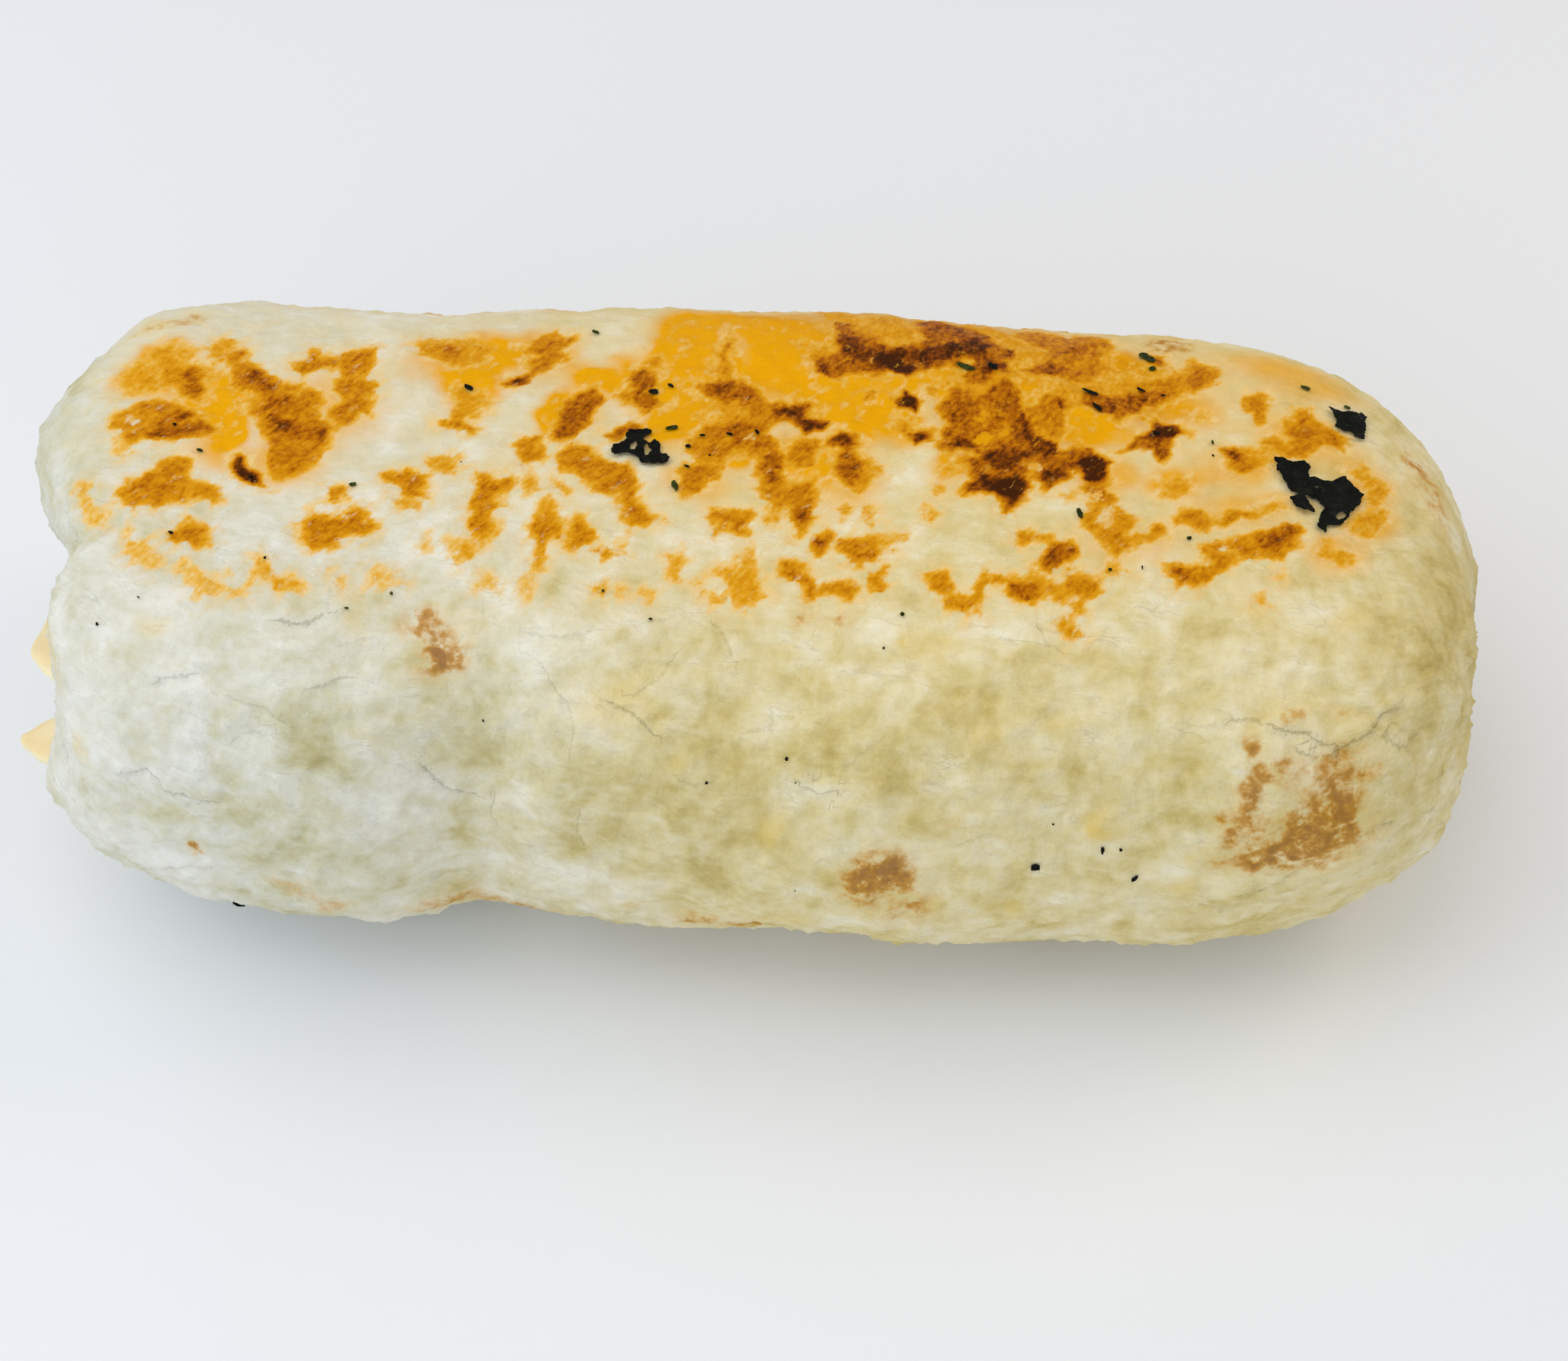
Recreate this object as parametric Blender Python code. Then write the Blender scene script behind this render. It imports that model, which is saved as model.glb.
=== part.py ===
"""A whole flour tortilla burrito, griddled flat on top.

One tortilla is wrapped round the filling and folded shut at both ends. The roll is uncut, so it is
a single solid. Two corners of sliced cheese poke out of the left end, and three charred leaves
lie on the griddled top.

Units are millimetres until the meshes are made. +X runs along the roll, -Y is its soft front, and
+Z is up. The origin is at the bottom centre of the whole.
"""
import math

import bmesh
import bpy
import numpy as np

MM = 0.001

# Length of the roll, and where its round ends begin on a line of surface that runs along it.
LEFT_TIP, RIGHT_TIP = -86.0, 88.5
LEFT_START, RIGHT_START = -64.0, 44.0
LEFT_CAP, RIGHT_CAP = 46.0, 60.0

# How deep each end is at its front, top, back and underside, and how blunt it is (2 is round).
LEFT_DEPTH, RIGHT_DEPTH = (27.5, 26.0, 27.0, 28.0), (40.0, 38.0, 55.0, 38.0)
LEFT_BLUNT, RIGHT_BLUNT = 4.0, 2.8

# Girth: reach of the section from its middle, the height of that middle, and its squareness.
FRONT, BACK, UP, DOWN = 39.5, 39.5, 30.0, 30.0
MIDDLE, SQUARENESS = 28.5, 2.5
TOP_FLAT, TOP_SOFTNESS = 57.0, 3.0      # the griddle pressed the top almost flat

# Swellings of the front and back as a share of their reach: (share, where along X, half length).
FRONT_SWELLS = ((0.05, 18.0, 28.0), (-0.085, -33.0, 9.5), (0.033, -50.0, 14.0))
BACK_SWELLS = ((0.09, -8.0, 50.0),)
LEFT_SHIFT, END_LIFT = 3.2, 1.5         # the left end turns back, and both ends lift a little

TORTILLA = 1.8                          # thickness of one layer, which sets the height of a fold
EDGE = 1.5                              # over what distance a layer's edge falls away
GIRTH_PER_DEGREE = 0.62                 # length of one degree round the roll
ORIGIN_X, ORIGIN_Y = -0.93, 0.69        # middle of the whole, which becomes x = y = 0

RINGS, SIDES = 84, 52                   # faces along the roll and round it

# Cheese corners at the left end: the two places where the slice leaves the roll, its tip (X, Y),
# how its sides run back from the tip (Y for each mm of X), its height, and how far its tip hangs.
CHEESE_ROOT, CHEESE_THICK, CHEESE_GAP = -78.0, 1.5, 0.3
CHEESE_TIP_HALF, CHEESE_SOFT = 0.4, 0.35
CHEESE = {
    "cheese_corner_rear": {"sides": (-12.5, 14.0), "tip": (-92.7, -6.3), "slopes": (-1.3, 5.0),
                           "height": 26.0, "hang": 0.8},
    "cheese_corner_front": {"sides": (-21.5, -9.8), "tip": (-93.4, -15.4), "slopes": (-0.95, 0.7),
                            "height": 20.0, "hang": 1.0},
}

# Charred leaves: where each lies (along, degrees round), and the discs that make up its outline,
# each (offset along, offset round the roll, radius).
LEAF_THICK, LEAF_GAP = 0.5, 0.35
LEAVES = {
    "leaf_large": {"place": (60.8, 85.5),
                   "discs": ((-3.2, 3.4, 1.9), (-0.8, 0.6, 2.4), (2.3, 0.1, 2.9),
                             (0.8, -3.8, 2.0))},
    "leaf_small": {"place": (65.9, 112.6), "discs": ((-0.5, 0.5, 1.4), (0.9, -0.7, 1.4))},
    "leaf_middle": {"place": (-19.6, 94.0),
                    "discs": ((-2.3, -0.5, 1.3), (-0.6, 1.0, 1.6), (0.8, 0.0, 1.7),
                              (1.9, -1.3, 1.4))},
}


def bell(value, centre, reach):
    """1 at the centre, falling to nothing a little over one reach away."""
    return np.exp(-((value - centre) / reach) ** 2)


def rise(value, low, high):
    """0 up to low, 1 from high on, and a smooth step between; low may be the larger."""
    t = np.clip((value - low) / (high - low), 0, 1)
    return t * t * (3 - 2 * t)


def by_quarter(turn, front, top, back, under):
    """Blend four values round the roll."""
    c, s = np.cos(turn), np.sin(turn)
    return (front * np.maximum(c, 0) ** 2 + back * np.maximum(-c, 0) ** 2
            + top * np.maximum(s, 0) ** 2 + under * np.maximum(-s, 0) ** 2)


def round_off(angle, bluntness):
    """Point on a superellipse: (what is left of the girth, how far out), each from 0 to 1."""
    c, s = np.cos(angle), np.sin(angle)
    radius = (c ** bluntness + np.abs(s) ** bluntness) ** (-1 / bluntness)
    return radius * c, radius * s


def plain_roll(along, turn):
    """The roll without its folds. turn is 0 at the front, 90 degrees on top, 180 at the back."""
    quarter = math.pi / 2 * 0.99999
    left = np.clip((LEFT_START - along) / LEFT_CAP, 0, 1) * quarter
    right = np.clip((along - RIGHT_START) / RIGHT_CAP, 0, 1) * quarter
    left_depth, right_depth = by_quarter(turn, *LEFT_DEPTH), by_quarter(turn, *RIGHT_DEPTH)
    left_girth, left_out = round_off(left, LEFT_BLUNT)
    right_girth, right_out = round_off(right, RIGHT_BLUNT)
    share = np.clip((along - LEFT_START) / (RIGHT_START - LEFT_START), 0, 1)
    x = ((LEFT_TIP + left_depth) * (1 - share) + (RIGHT_TIP - right_depth) * share
         - left_depth * left_out + right_depth * right_out)

    front = FRONT * (1 + sum(a * bell(x, b, c) for a, b, c in FRONT_SWELLS))
    back = BACK * (1 + sum(a * bell(x, b, c) for a, b, c in BACK_SWELLS))
    c, s = np.cos(turn), np.sin(turn)
    wide, tall = np.where(c > 0, front, back), np.where(s > 0, UP, DOWN)
    radius = (np.abs(c / wide) ** SQUARENESS + np.abs(s / tall) ** SQUARENESS) ** (-1 / SQUARENESS)
    radius = radius * left_girth * right_girth
    y = -radius * c + LEFT_SHIFT * rise(x, -50, -90)
    z = MIDDLE + radius * s + END_LIFT * (rise(x, -60, -90) + rise(x, 60, 90))
    return np.stack([x, y, z], -1)


def lobe(q, centre, reach):
    """1 at a centre (Y, Z) on an end, falling away over a reach (Y, Z)."""
    across, up = (q[..., 1] - centre[0]) / reach[0], (q[..., 2] - centre[1]) / reach[1]
    return np.exp(-across ** 2 - up ** 2)


def layer(distance, height, fade):
    """A layer's edge: raised for distance above 0, fading inwards, with a shallow ditch outside."""
    raised = height * rise(distance, -EDGE / 2, EDGE / 2) * np.exp(-np.maximum(distance, 0) / fade)
    return raised - 0.25 * height * bell(distance, -EDGE, EDGE)


def crease(q, start, end, width, depth):
    """A valley along the straight line from start to end."""
    start, end = np.array(start), np.array(end)
    run = end - start
    t = np.clip(((q - start) @ run) / (run @ run), 0, 1)
    gap = np.linalg.norm(q - start - t[..., None] * run, axis=-1)
    return -depth * np.exp(-(gap / width) ** 2)


def left_folds(q, degrees):
    """The bulging inner fold, the outer wrap's rim over a tucked flap, and a corner at the bottom."""
    x, y, z = q[..., 0], q[..., 1], q[..., 2]
    end = rise(x, -66, -84)
    height = end * (6.2 * lobe(q, (11, 42), (11, 13)) + 3.0 * lobe(q, (-24, 20), (7, 7)))
    height += crease(q, (-78, -11, 56), (-84, -11.5, 50), 2.4, 1.5)
    height += crease(q, (-84, -11.5, 50), (-87, 2, 34), 2.6, 1.5)
    below_rim = (33 + 0.6 * y - z) / math.hypot(1, 0.6)
    height -= end * 2.2 * rise(below_rim, -EDGE / 2, EDGE) * np.exp(-np.maximum(below_rim, 0) / 16)
    over_flap = (degrees - (-7.5 + 0.95 * (x + 76))) * 0.53
    height += layer(over_flap, 0.8, 6) * rise(x, -60, -68)
    return height


def right_folds(q, degrees):
    """The outer fold's slanting edge and corner, the hollow under it, and the flap at the front."""
    x, y, z = q[..., 0], q[..., 1], q[..., 2]
    end = rise(x, 62, 82)
    height = end * (3.3 * lobe(q, (8, 29), (6, 8)) - 1.2 * lobe(q, (-6, 26), (7, 10))
                    - 1.6 * lobe(q, (27, 44), (10, 12)) + 1.3 * lobe(q, (-24, 20), (8, 8)))
    over_edge = (z - (21 + 0.85 * y)) / math.hypot(1, 0.85)
    hollow = rise(over_edge, EDGE / 2, -EDGE) * np.exp(np.minimum(over_edge, 0) / 14)
    height -= 1.6 * rise(x, 74, 86) * hollow
    inside = (1 - np.hypot((x - 57) / 21, (degrees - 15.5) / 21.5)) * 16
    height += layer(inside, 1.1, 7) * rise(x, 44, 56) * rise(degrees, 36, 24)
    return height


def seam(q, degrees):
    """The tortilla's free edge, which runs along the lower front: below it lies the layer beneath."""
    x = q[..., 0]
    edge = -33 + 5 * bell(x, -34, 10) + 1.5 * np.sin(x / 9)
    below = (edge - degrees) * GIRTH_PER_DEGREE
    reach = rise(x, -74, -62) * rise(x, 62, 40)
    return -TORTILLA * reach * rise(below, -EDGE / 2, EDGE) * np.exp(-np.maximum(below, 0) / 16)


def swells(q, degrees):
    """The soft valley across the griddled top, and the lumps of filling under the wrap."""
    x = q[..., 0]
    valley = 74 + 1.0 * (x + 62) + 0.012 * (x + 62) ** 2
    across = (degrees - valley) * 0.55
    height = -1.3 * bell(across, 0, 4.5) * rise(x, -74, -60) * rise(x, -22, -32)
    height += 0.55 * np.sin(x / 11 + 1.2) * np.sin(np.radians(3 * degrees) + 0.6)
    finer = np.sin(x / 6.5 + np.radians(2 * degrees)) * np.cos(np.radians(5 * degrees) + x / 30)
    height += 0.35 * finer
    return height * rise(np.abs(x), 88, 76)


def burrito_surface(along, turn):
    """Points on the finished roll, its faces of contact pressed flat."""
    along, turn = np.broadcast_arrays(np.asarray(along, float), np.asarray(turn, float))
    step = 1e-3
    q = plain_roll(along, turn)
    outward = np.cross(plain_roll(along + step, turn) - plain_roll(along - step, turn),
                       plain_roll(along, turn + step) - plain_roll(along, turn - step))
    outward /= np.maximum(np.linalg.norm(outward, axis=-1, keepdims=True), 1e-12)
    degrees = (np.degrees(turn) + 90) % 360 - 90
    folds = left_folds(q, degrees) + right_folds(q, degrees) + seam(q, degrees) + swells(q, degrees)
    q = q + outward * folds[..., None]
    q[..., 2] -= TOP_SOFTNESS * np.logaddexp(0, (q[..., 2] - TOP_FLAT) / TOP_SOFTNESS)
    q[..., 2] = np.maximum(q[..., 2], 0)
    return q - (ORIGIN_X, ORIGIN_Y, 0)


def material(name, colour, roughness):
    made = bpy.data.materials.new(name)
    made.use_nodes = True
    shader = made.node_tree.nodes["Principled BSDF"]
    shader.inputs["Base Color"].default_value = (*colour, 1)
    shader.inputs["Roughness"].default_value = roughness
    shader.inputs["Metallic"].default_value = 0
    return made


def add_object(name, rings, start, end, finish):
    """A closed solid from rings of points, closed with a fan at each end. Points are in mm."""
    mesh = bpy.data.meshes.new(name)
    bm = bmesh.new()
    loops = [[bm.verts.new(point * MM) for point in ring] for ring in rings]
    for first, second in zip(loops, loops[1:]):
        for i in range(len(first)):
            j = (i + 1) % len(first)
            bm.faces.new((first[i], first[j], second[j], second[i]))
    for loop, pole in ((loops[0], start), (loops[-1], end)):
        tip = bm.verts.new(pole * MM)
        for i in range(len(loop)):
            bm.faces.new((loop[i], loop[(i + 1) % len(loop)], tip))
    bmesh.ops.recalc_face_normals(bm, faces=bm.faces)
    if bm.calc_volume(signed=True) < 0:
        bmesh.ops.reverse_faces(bm, faces=bm.faces)
    bm.to_mesh(mesh)
    bm.free()
    mesh.shade_smooth()
    mesh.materials.append(finish)
    made = bpy.data.objects.new(name, mesh)
    bpy.context.scene.collection.objects.link(made)
    return made


def make_tortilla(finish):
    along = np.linspace(LEFT_START - LEFT_CAP, RIGHT_START + RIGHT_CAP, RINGS + 1)
    turn = np.linspace(0, 2 * math.pi, SIDES, endpoint=False)
    grid = burrito_surface(along[:, None], turn[None, :])
    return add_object("tortilla", grid[1:-1], grid[0].mean(0), grid[-1].mean(0), finish)


def cheese_rings(sides, tip, slopes, height, hang, extra=0.0):
    """Sections of a slice's corner, from its root inside the roll to its tip, grown by extra."""
    root, end_x = CHEESE_ROOT + extra, tip[0] - extra
    mouth = LEFT_TIP + 2.0
    half = CHEESE_THICK / 2 + extra
    soft = min(CHEESE_SOFT, half / 2)
    rings = []
    for x in (root, mouth + 4.0, mouth, *np.linspace(mouth, end_x, 7)[1:-1]):
        behind = x - end_x
        low = max(sides[0], tip[1] - CHEESE_TIP_HALF + slopes[0] * behind) - extra
        high = min(sides[1], tip[1] + CHEESE_TIP_HALF + slopes[1] * behind) + extra
        t = max(0.0, (mouth - x) / (mouth - end_x))
        z = height - hang * t * t
        rings.append(np.array([
            (x, low, z - half + soft), (x, low + soft, z - half), (x, high - soft, z - half),
            (x, high, z - half + soft), (x, high, z + half - soft), (x, high - soft, z + half),
            (x, low + soft, z + half), (x, low, z + half - soft)]))
    start = rings[0].mean(0)
    end = np.array([end_x, tip[1], height - hang])
    return rings, start, end


def make_cheese(name, sizes, finish, tortilla):
    """A cheese corner, and the slot that it leaves the roll by."""
    shift = np.array([ORIGIN_X, ORIGIN_Y, 0])
    rings, start, end = cheese_rings(**sizes)
    add_object(name, [r - shift for r in rings], start - shift, end - shift, finish)
    rings, start, end = cheese_rings(**sizes, extra=CHEESE_GAP)
    rings = [r - shift for r in rings]
    cutter = add_object(name + "_slot", rings, start - shift, end - shift, finish)
    cutter.hide_render = True
    cutter.display_type = "WIRE"
    cut = tortilla.modifiers.new(name + "_slot", "BOOLEAN")
    cut.operation = "DIFFERENCE"
    cut.solver = "EXACT"
    cut.object = cutter


def leaf_outline(discs, directions):
    """How far the joined discs reach from the leaf's own middle in each direction."""
    reach = np.zeros(len(directions))
    for u, v, radius in discs:
        ahead = u * np.cos(directions) + v * np.sin(directions)
        aside = radius ** 2 - (u * u + v * v - ahead ** 2)
        reach = np.maximum(reach, np.where(aside > 0, ahead + np.sqrt(np.maximum(aside, 0)), 0))
    return reach


def make_leaf(name, place, discs, finish):
    """A thin flake that follows the surface of the roll, a hair above it."""
    along, turn = place[0], math.radians(place[1])
    either_side = burrito_surface(along, turn + 0.05), burrito_surface(along, turn - 0.05)
    girth = np.linalg.norm(either_side[0] - either_side[1]) / 0.1
    directions = np.linspace(0, 2 * math.pi, 20, endpoint=False)
    reach = leaf_outline(discs, directions)
    shares = (0.33, 0.67, 1.0)

    def sheet(share, lift):
        u, v = share * reach * np.cos(directions), share * reach * np.sin(directions)
        spot = burrito_surface(along + u, turn + v / girth)
        spot[:, 2] += lift
        return spot

    low, high = LEAF_GAP, LEAF_GAP + LEAF_THICK
    rings = [sheet(s, low) for s in shares] + [sheet(s, high) for s in reversed(shares)]
    middle = burrito_surface(along, turn)
    add_object(name, rings, middle + (0, 0, low), middle + (0, 0, high), finish)


def main():
    for old in list(bpy.data.objects):
        bpy.data.objects.remove(old, do_unlink=True)
    wheat = material("wheat tortilla, griddled", (0.72, 0.62, 0.36), 0.6)
    cheddar = material("mild sliced cheese", (0.92, 0.73, 0.34), 0.4)
    char = material("charred leaf", (0.010, 0.012, 0.006), 0.7)
    tortilla = make_tortilla(wheat)
    for name, sizes in CHEESE.items():
        make_cheese(name, sizes, cheddar, tortilla)
    for name, sizes in LEAVES.items():
        make_leaf(name, sizes["place"], sizes["discs"], char)


main()
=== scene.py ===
# A griddled flour tortilla burrito with two corners of sliced cheese and some charred leaves.
# Sizes below are in millimetres, and turned to metres where the meshes are made.
import math
from functools import partial

import bpy
import numpy as np
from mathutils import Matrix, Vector


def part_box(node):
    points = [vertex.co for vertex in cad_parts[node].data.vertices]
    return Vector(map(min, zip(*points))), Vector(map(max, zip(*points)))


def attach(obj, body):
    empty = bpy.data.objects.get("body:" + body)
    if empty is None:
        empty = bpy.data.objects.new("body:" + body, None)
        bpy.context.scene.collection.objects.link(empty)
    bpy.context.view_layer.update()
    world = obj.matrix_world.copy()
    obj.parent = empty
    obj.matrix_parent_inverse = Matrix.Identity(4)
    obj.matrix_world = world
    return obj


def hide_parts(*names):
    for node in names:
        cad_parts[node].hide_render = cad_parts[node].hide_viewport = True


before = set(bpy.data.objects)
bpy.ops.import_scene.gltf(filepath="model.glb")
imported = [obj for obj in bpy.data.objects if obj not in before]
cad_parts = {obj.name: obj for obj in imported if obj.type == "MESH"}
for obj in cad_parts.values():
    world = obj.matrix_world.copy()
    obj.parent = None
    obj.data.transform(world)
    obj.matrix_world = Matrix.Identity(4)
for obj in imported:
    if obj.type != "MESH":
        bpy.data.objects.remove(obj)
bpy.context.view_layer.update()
mm = 0.001

# ---- the wrapped roll: the same roll as the frame's, in the same millimetres
roll = {
    "leftTip": -86.0, "rightTip": 88.5,          # ends of the roll
    "leftStart": -64.0, "rightStart": 44.0,      # where its round ends begin, along its surface
    "leftCap": 46.0, "rightCap": 60.0,           # length of surface over each end
    "leftDepth": (27.5, 26.0, 27.0, 28.0),       # depth of the end at its front, top, back, underside
    "rightDepth": (40.0, 38.0, 55.0, 38.0),
    "leftBlunt": 4.0, "rightBlunt": 2.8,         # 2 is round, more is squarer
    "front": 39.5, "back": 39.5, "up": 30.0, "down": 30.0,
    "middle": 28.5, "squareness": 2.5,
    "topFlat": 57.0, "topSoftness": 3.0,         # the griddle pressed the top almost flat
    "frontSwells": ((0.05, 18.0, 28.0), (-0.085, -33.0, 9.5), (0.033, -50.0, 14.0)),
    "backSwells": ((0.09, -8.0, 50.0),),
    "leftShift": 3.2, "endLift": 1.5,
    "layer": 1.8, "edge": 1.5,                   # thickness of a layer, and how far its edge falls over
    "girthPerDegree": 0.62,
    "originX": -0.93, "originY": 0.69,
    "rings": 410, "sides": 240,                  # grid of the finished skin
    "fineFrom": -48.0, "fineTo": 150.0,          # degrees round the roll that get most of the sides
    "coarse": 0.30,                              # share of that density elsewhere
}


# 1 at the centre, falling as a bell curve over the reach
def bell(value, centre, reach):
    return np.exp(-((value - centre) / reach) ** 2)


# 0 up to low, 1 from high on, with a smooth cubic step between; low may be the larger
def rise(value, low, high):
    t = np.clip((value - low) / (high - low), 0, 1)
    return t * t * (3 - 2 * t)


# four values, for front, top, back and underside, blended by the squares of sine and cosine
def byQuarter(turn, front, top, back, under):
    c, s = np.cos(turn), np.sin(turn)
    return (front * np.maximum(c, 0) ** 2 + back * np.maximum(-c, 0) ** 2
            + top * np.maximum(s, 0) ** 2 + under * np.maximum(-s, 0) ** 2)


# a point on a superellipse in polar form: what is left of the girth, and how far out it is
def roundOff(angle, bluntness):
    c, s = np.cos(angle), np.sin(angle)
    radius = (c ** bluntness + np.abs(s) ** bluntness) ** (-1 / bluntness)
    return radius * c, radius * s


# a tube whose section is a superellipse, closed at both ends by a superellipse of revolution
def plainRoll(along, turn):
    quarter = math.pi / 2 * 0.99999
    left = np.clip((roll["leftStart"] - along) / roll["leftCap"], 0, 1) * quarter
    right = np.clip((along - roll["rightStart"]) / roll["rightCap"], 0, 1) * quarter
    leftDepth, rightDepth = byQuarter(turn, *roll["leftDepth"]), byQuarter(turn, *roll["rightDepth"])
    leftGirth, leftOut = roundOff(left, roll["leftBlunt"])
    rightGirth, rightOut = roundOff(right, roll["rightBlunt"])
    share = np.clip((along - roll["leftStart"]) / (roll["rightStart"] - roll["leftStart"]), 0, 1)
    x = ((roll["leftTip"] + leftDepth) * (1 - share) + (roll["rightTip"] - rightDepth) * share
         - leftDepth * leftOut + rightDepth * rightOut)
    front = roll["front"] * (1 + sum(a * bell(x, b, c) for a, b, c in roll["frontSwells"]))
    back = roll["back"] * (1 + sum(a * bell(x, b, c) for a, b, c in roll["backSwells"]))
    c, s = np.cos(turn), np.sin(turn)
    wide, tall = np.where(c > 0, front, back), np.where(s > 0, roll["up"], roll["down"])
    square = roll["squareness"]
    radius = (np.abs(c / wide) ** square + np.abs(s / tall) ** square) ** (-1 / square)
    radius = radius * leftGirth * rightGirth
    y = -radius * c + roll["leftShift"] * rise(x, -50, -90)
    z = roll["middle"] + radius * s + roll["endLift"] * (rise(x, -60, -90) + rise(x, 60, 90))
    return np.stack([x, y, z], -1)


# 1 at a centre (y, z) on an end, a bell curve over a reach (y, z)
def lobe(q, centre, reach):
    return np.exp(-((q[..., 1] - centre[0]) / reach[0]) ** 2 - ((q[..., 2] - centre[1]) / reach[1]) ** 2)


# a layer's edge: a smooth step up at distance 0, fading inwards, with a shallow ditch outside
def layerEdge(distance, height, fade, edge=None):
    edge = edge or roll["edge"]
    raised = height * rise(distance, -edge / 2, edge / 2) * np.exp(-np.maximum(distance, 0) / fade)
    return raised - 0.25 * height * bell(distance, -edge, edge)


# a valley of bell section along the straight line from start to end
def crease(q, start, end, width, depth):
    start, end = np.array(start), np.array(end)
    run = end - start
    t = np.clip(((q - start) @ run) / (run @ run), 0, 1)
    gap = np.linalg.norm(q - start - t[..., None] * run, axis=-1)
    return -depth * np.exp(-(gap / width) ** 2)


# the left end: a bulging inner fold, the outer wrap's rim over a tucked flap, a corner at the bottom
def leftFolds(q, degrees):
    x, y, z = q[..., 0], q[..., 1], q[..., 2]
    end = rise(x, -66, -84)
    height = end * (6.2 * lobe(q, (11, 42), (11, 13)) + 3.0 * lobe(q, (-24, 20), (7, 7)))
    height += crease(q, (-78, -11, 56), (-84, -11.5, 50), 2.4, 1.5)
    height += crease(q, (-84, -11.5, 50), (-87, 2, 34), 2.6, 1.5)
    belowRim = (33 + 0.6 * y - z) / math.hypot(1, 0.6)
    height -= end * 2.2 * rise(belowRim, -0.75, 1.5) * np.exp(-np.maximum(belowRim, 0) / 16)
    overFlap = (degrees - (-7.5 + 0.95 * (x + 76))) * 0.53
    return height + layerEdge(overFlap, 0.8, 6) * rise(x, -60, -68)


# the right end: a slanting fold, the hollow under it, and the oval flap at the front
def rightFolds(q, degrees):
    x, y, z = q[..., 0], q[..., 1], q[..., 2]
    end = rise(x, 62, 82)
    height = end * (3.3 * lobe(q, (8, 29), (6, 8)) - 1.2 * lobe(q, (-6, 26), (7, 10))
                    - 1.6 * lobe(q, (27, 44), (10, 12)) + 1.3 * lobe(q, (-24, 20), (8, 8)))
    overEdge = (z - (21 + 0.85 * y)) / math.hypot(1, 0.85)
    height -= rise(x, 74, 86) * 1.6 * rise(overEdge, 0.75, -1.5) * np.exp(np.minimum(overEdge, 0) / 14)
    inside = (1 - np.hypot((x - 57) / 21, (degrees - 15.5) / 21.5)) * 16
    return height + layerEdge(inside, 1.1, 7) * rise(x, 44, 56) * rise(degrees, 36, 24)


# the tortilla's free edge along the lower front: below it lies the layer beneath
def seam(q, degrees):
    x = q[..., 0]
    edge = -33 + 5 * bell(x, -34, 10) + 1.5 * np.sin(x / 9)
    below = (edge - degrees) * roll["girthPerDegree"]
    reach = rise(x, -74, -62) * rise(x, 62, 40)
    return -roll["layer"] * reach * rise(below, -0.75, 1.5) * np.exp(-np.maximum(below, 0) / 16)


# the soft valley across the griddled top, and the lumps of filling under the wrap
def swells(q, degrees):
    x = q[..., 0]
    valley = 74 + 1.0 * (x + 62) + 0.012 * (x + 62) ** 2
    height = -1.3 * bell((degrees - valley) * 0.55, 0, 4.5) * rise(x, -74, -60) * rise(x, -22, -32)
    height += 0.55 * np.sin(x / 11 + 1.2) * np.sin(np.radians(3 * degrees) + 0.6)
    height += 0.35 * np.sin(x / 6.5 + np.radians(2 * degrees)) * np.cos(np.radians(5 * degrees) + x / 30)
    return height * rise(np.abs(x), 88, 76)


# degrees round the roll, from -90 under it through 0 at the front and 90 on top to 270
def degreesOf(turn):
    return (np.degrees(turn) + 90) % 360 - 90


# the roll moved outwards by its folds, its top squashed by a soft ceiling, its underside flat
def burritoSurface(along, turn):
    along, turn = np.broadcast_arrays(np.asarray(along, float), np.asarray(turn, float))
    step = 1e-3
    q = plainRoll(along, turn)
    outward = np.cross(plainRoll(along + step, turn) - plainRoll(along - step, turn),
                       plainRoll(along, turn + step) - plainRoll(along, turn - step))
    outward /= np.maximum(np.linalg.norm(outward, axis=-1, keepdims=True), 1e-12)
    degrees = degreesOf(turn)
    folds = leftFolds(q, degrees) + rightFolds(q, degrees) + seam(q, degrees) + swells(q, degrees)
    q = q + outward * folds[..., None]
    q[..., 2] -= roll["topSoftness"] * np.logaddexp(0, (q[..., 2] - roll["topFlat"]) / roll["topSoftness"])
    q[..., 2] = np.maximum(q[..., 2], 0)
    return q - (roll["originX"], roll["originY"], 0)


# gradient noise, about -1 to 1: random slopes on a cubic lattice, blended by a quintic step
def softNoise(points, size, seed):
    draw = np.random.default_rng(seed)
    slopes = draw.normal(size=(4096, 3))
    slopes /= np.linalg.norm(slopes, axis=1, keepdims=True)
    q = np.asarray(points, float) / size
    cell = np.floor(q).astype(np.int64)
    part = q - cell
    blend = part ** 3 * (part * (part * 6 - 15) + 10)
    total = np.zeros(q.shape[:-1])
    for corner in np.ndindex(2, 2, 2):
        at = cell + corner
        pick = (at[..., 0] * 1619 + at[..., 1] * 31337 + at[..., 2] * 6971 + seed * 1013) ^ (at[..., 1] * 499)
        dot = (slopes[pick % 4096] * (part - corner)).sum(-1)
        total += dot * np.where(corner, blend, 1 - blend).prod(-1)
    return total * 1.6


# which of the sides fall where round the roll: equal steps of a density that is high where it shows
def turnSteps():
    fine = np.linspace(-90, 270, 3601)
    density = roll["coarse"] + (1 - roll["coarse"]) * (
        rise(fine, roll["fineFrom"] - 15, roll["fineFrom"]) * rise(fine, roll["fineTo"] + 15, roll["fineTo"]))
    total = np.concatenate([[0], np.cumsum((density[1:] + density[:-1]) / 2)])
    return np.interp(np.linspace(0, total[-1], roll["sides"], endpoint=False), total, fine)


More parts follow.
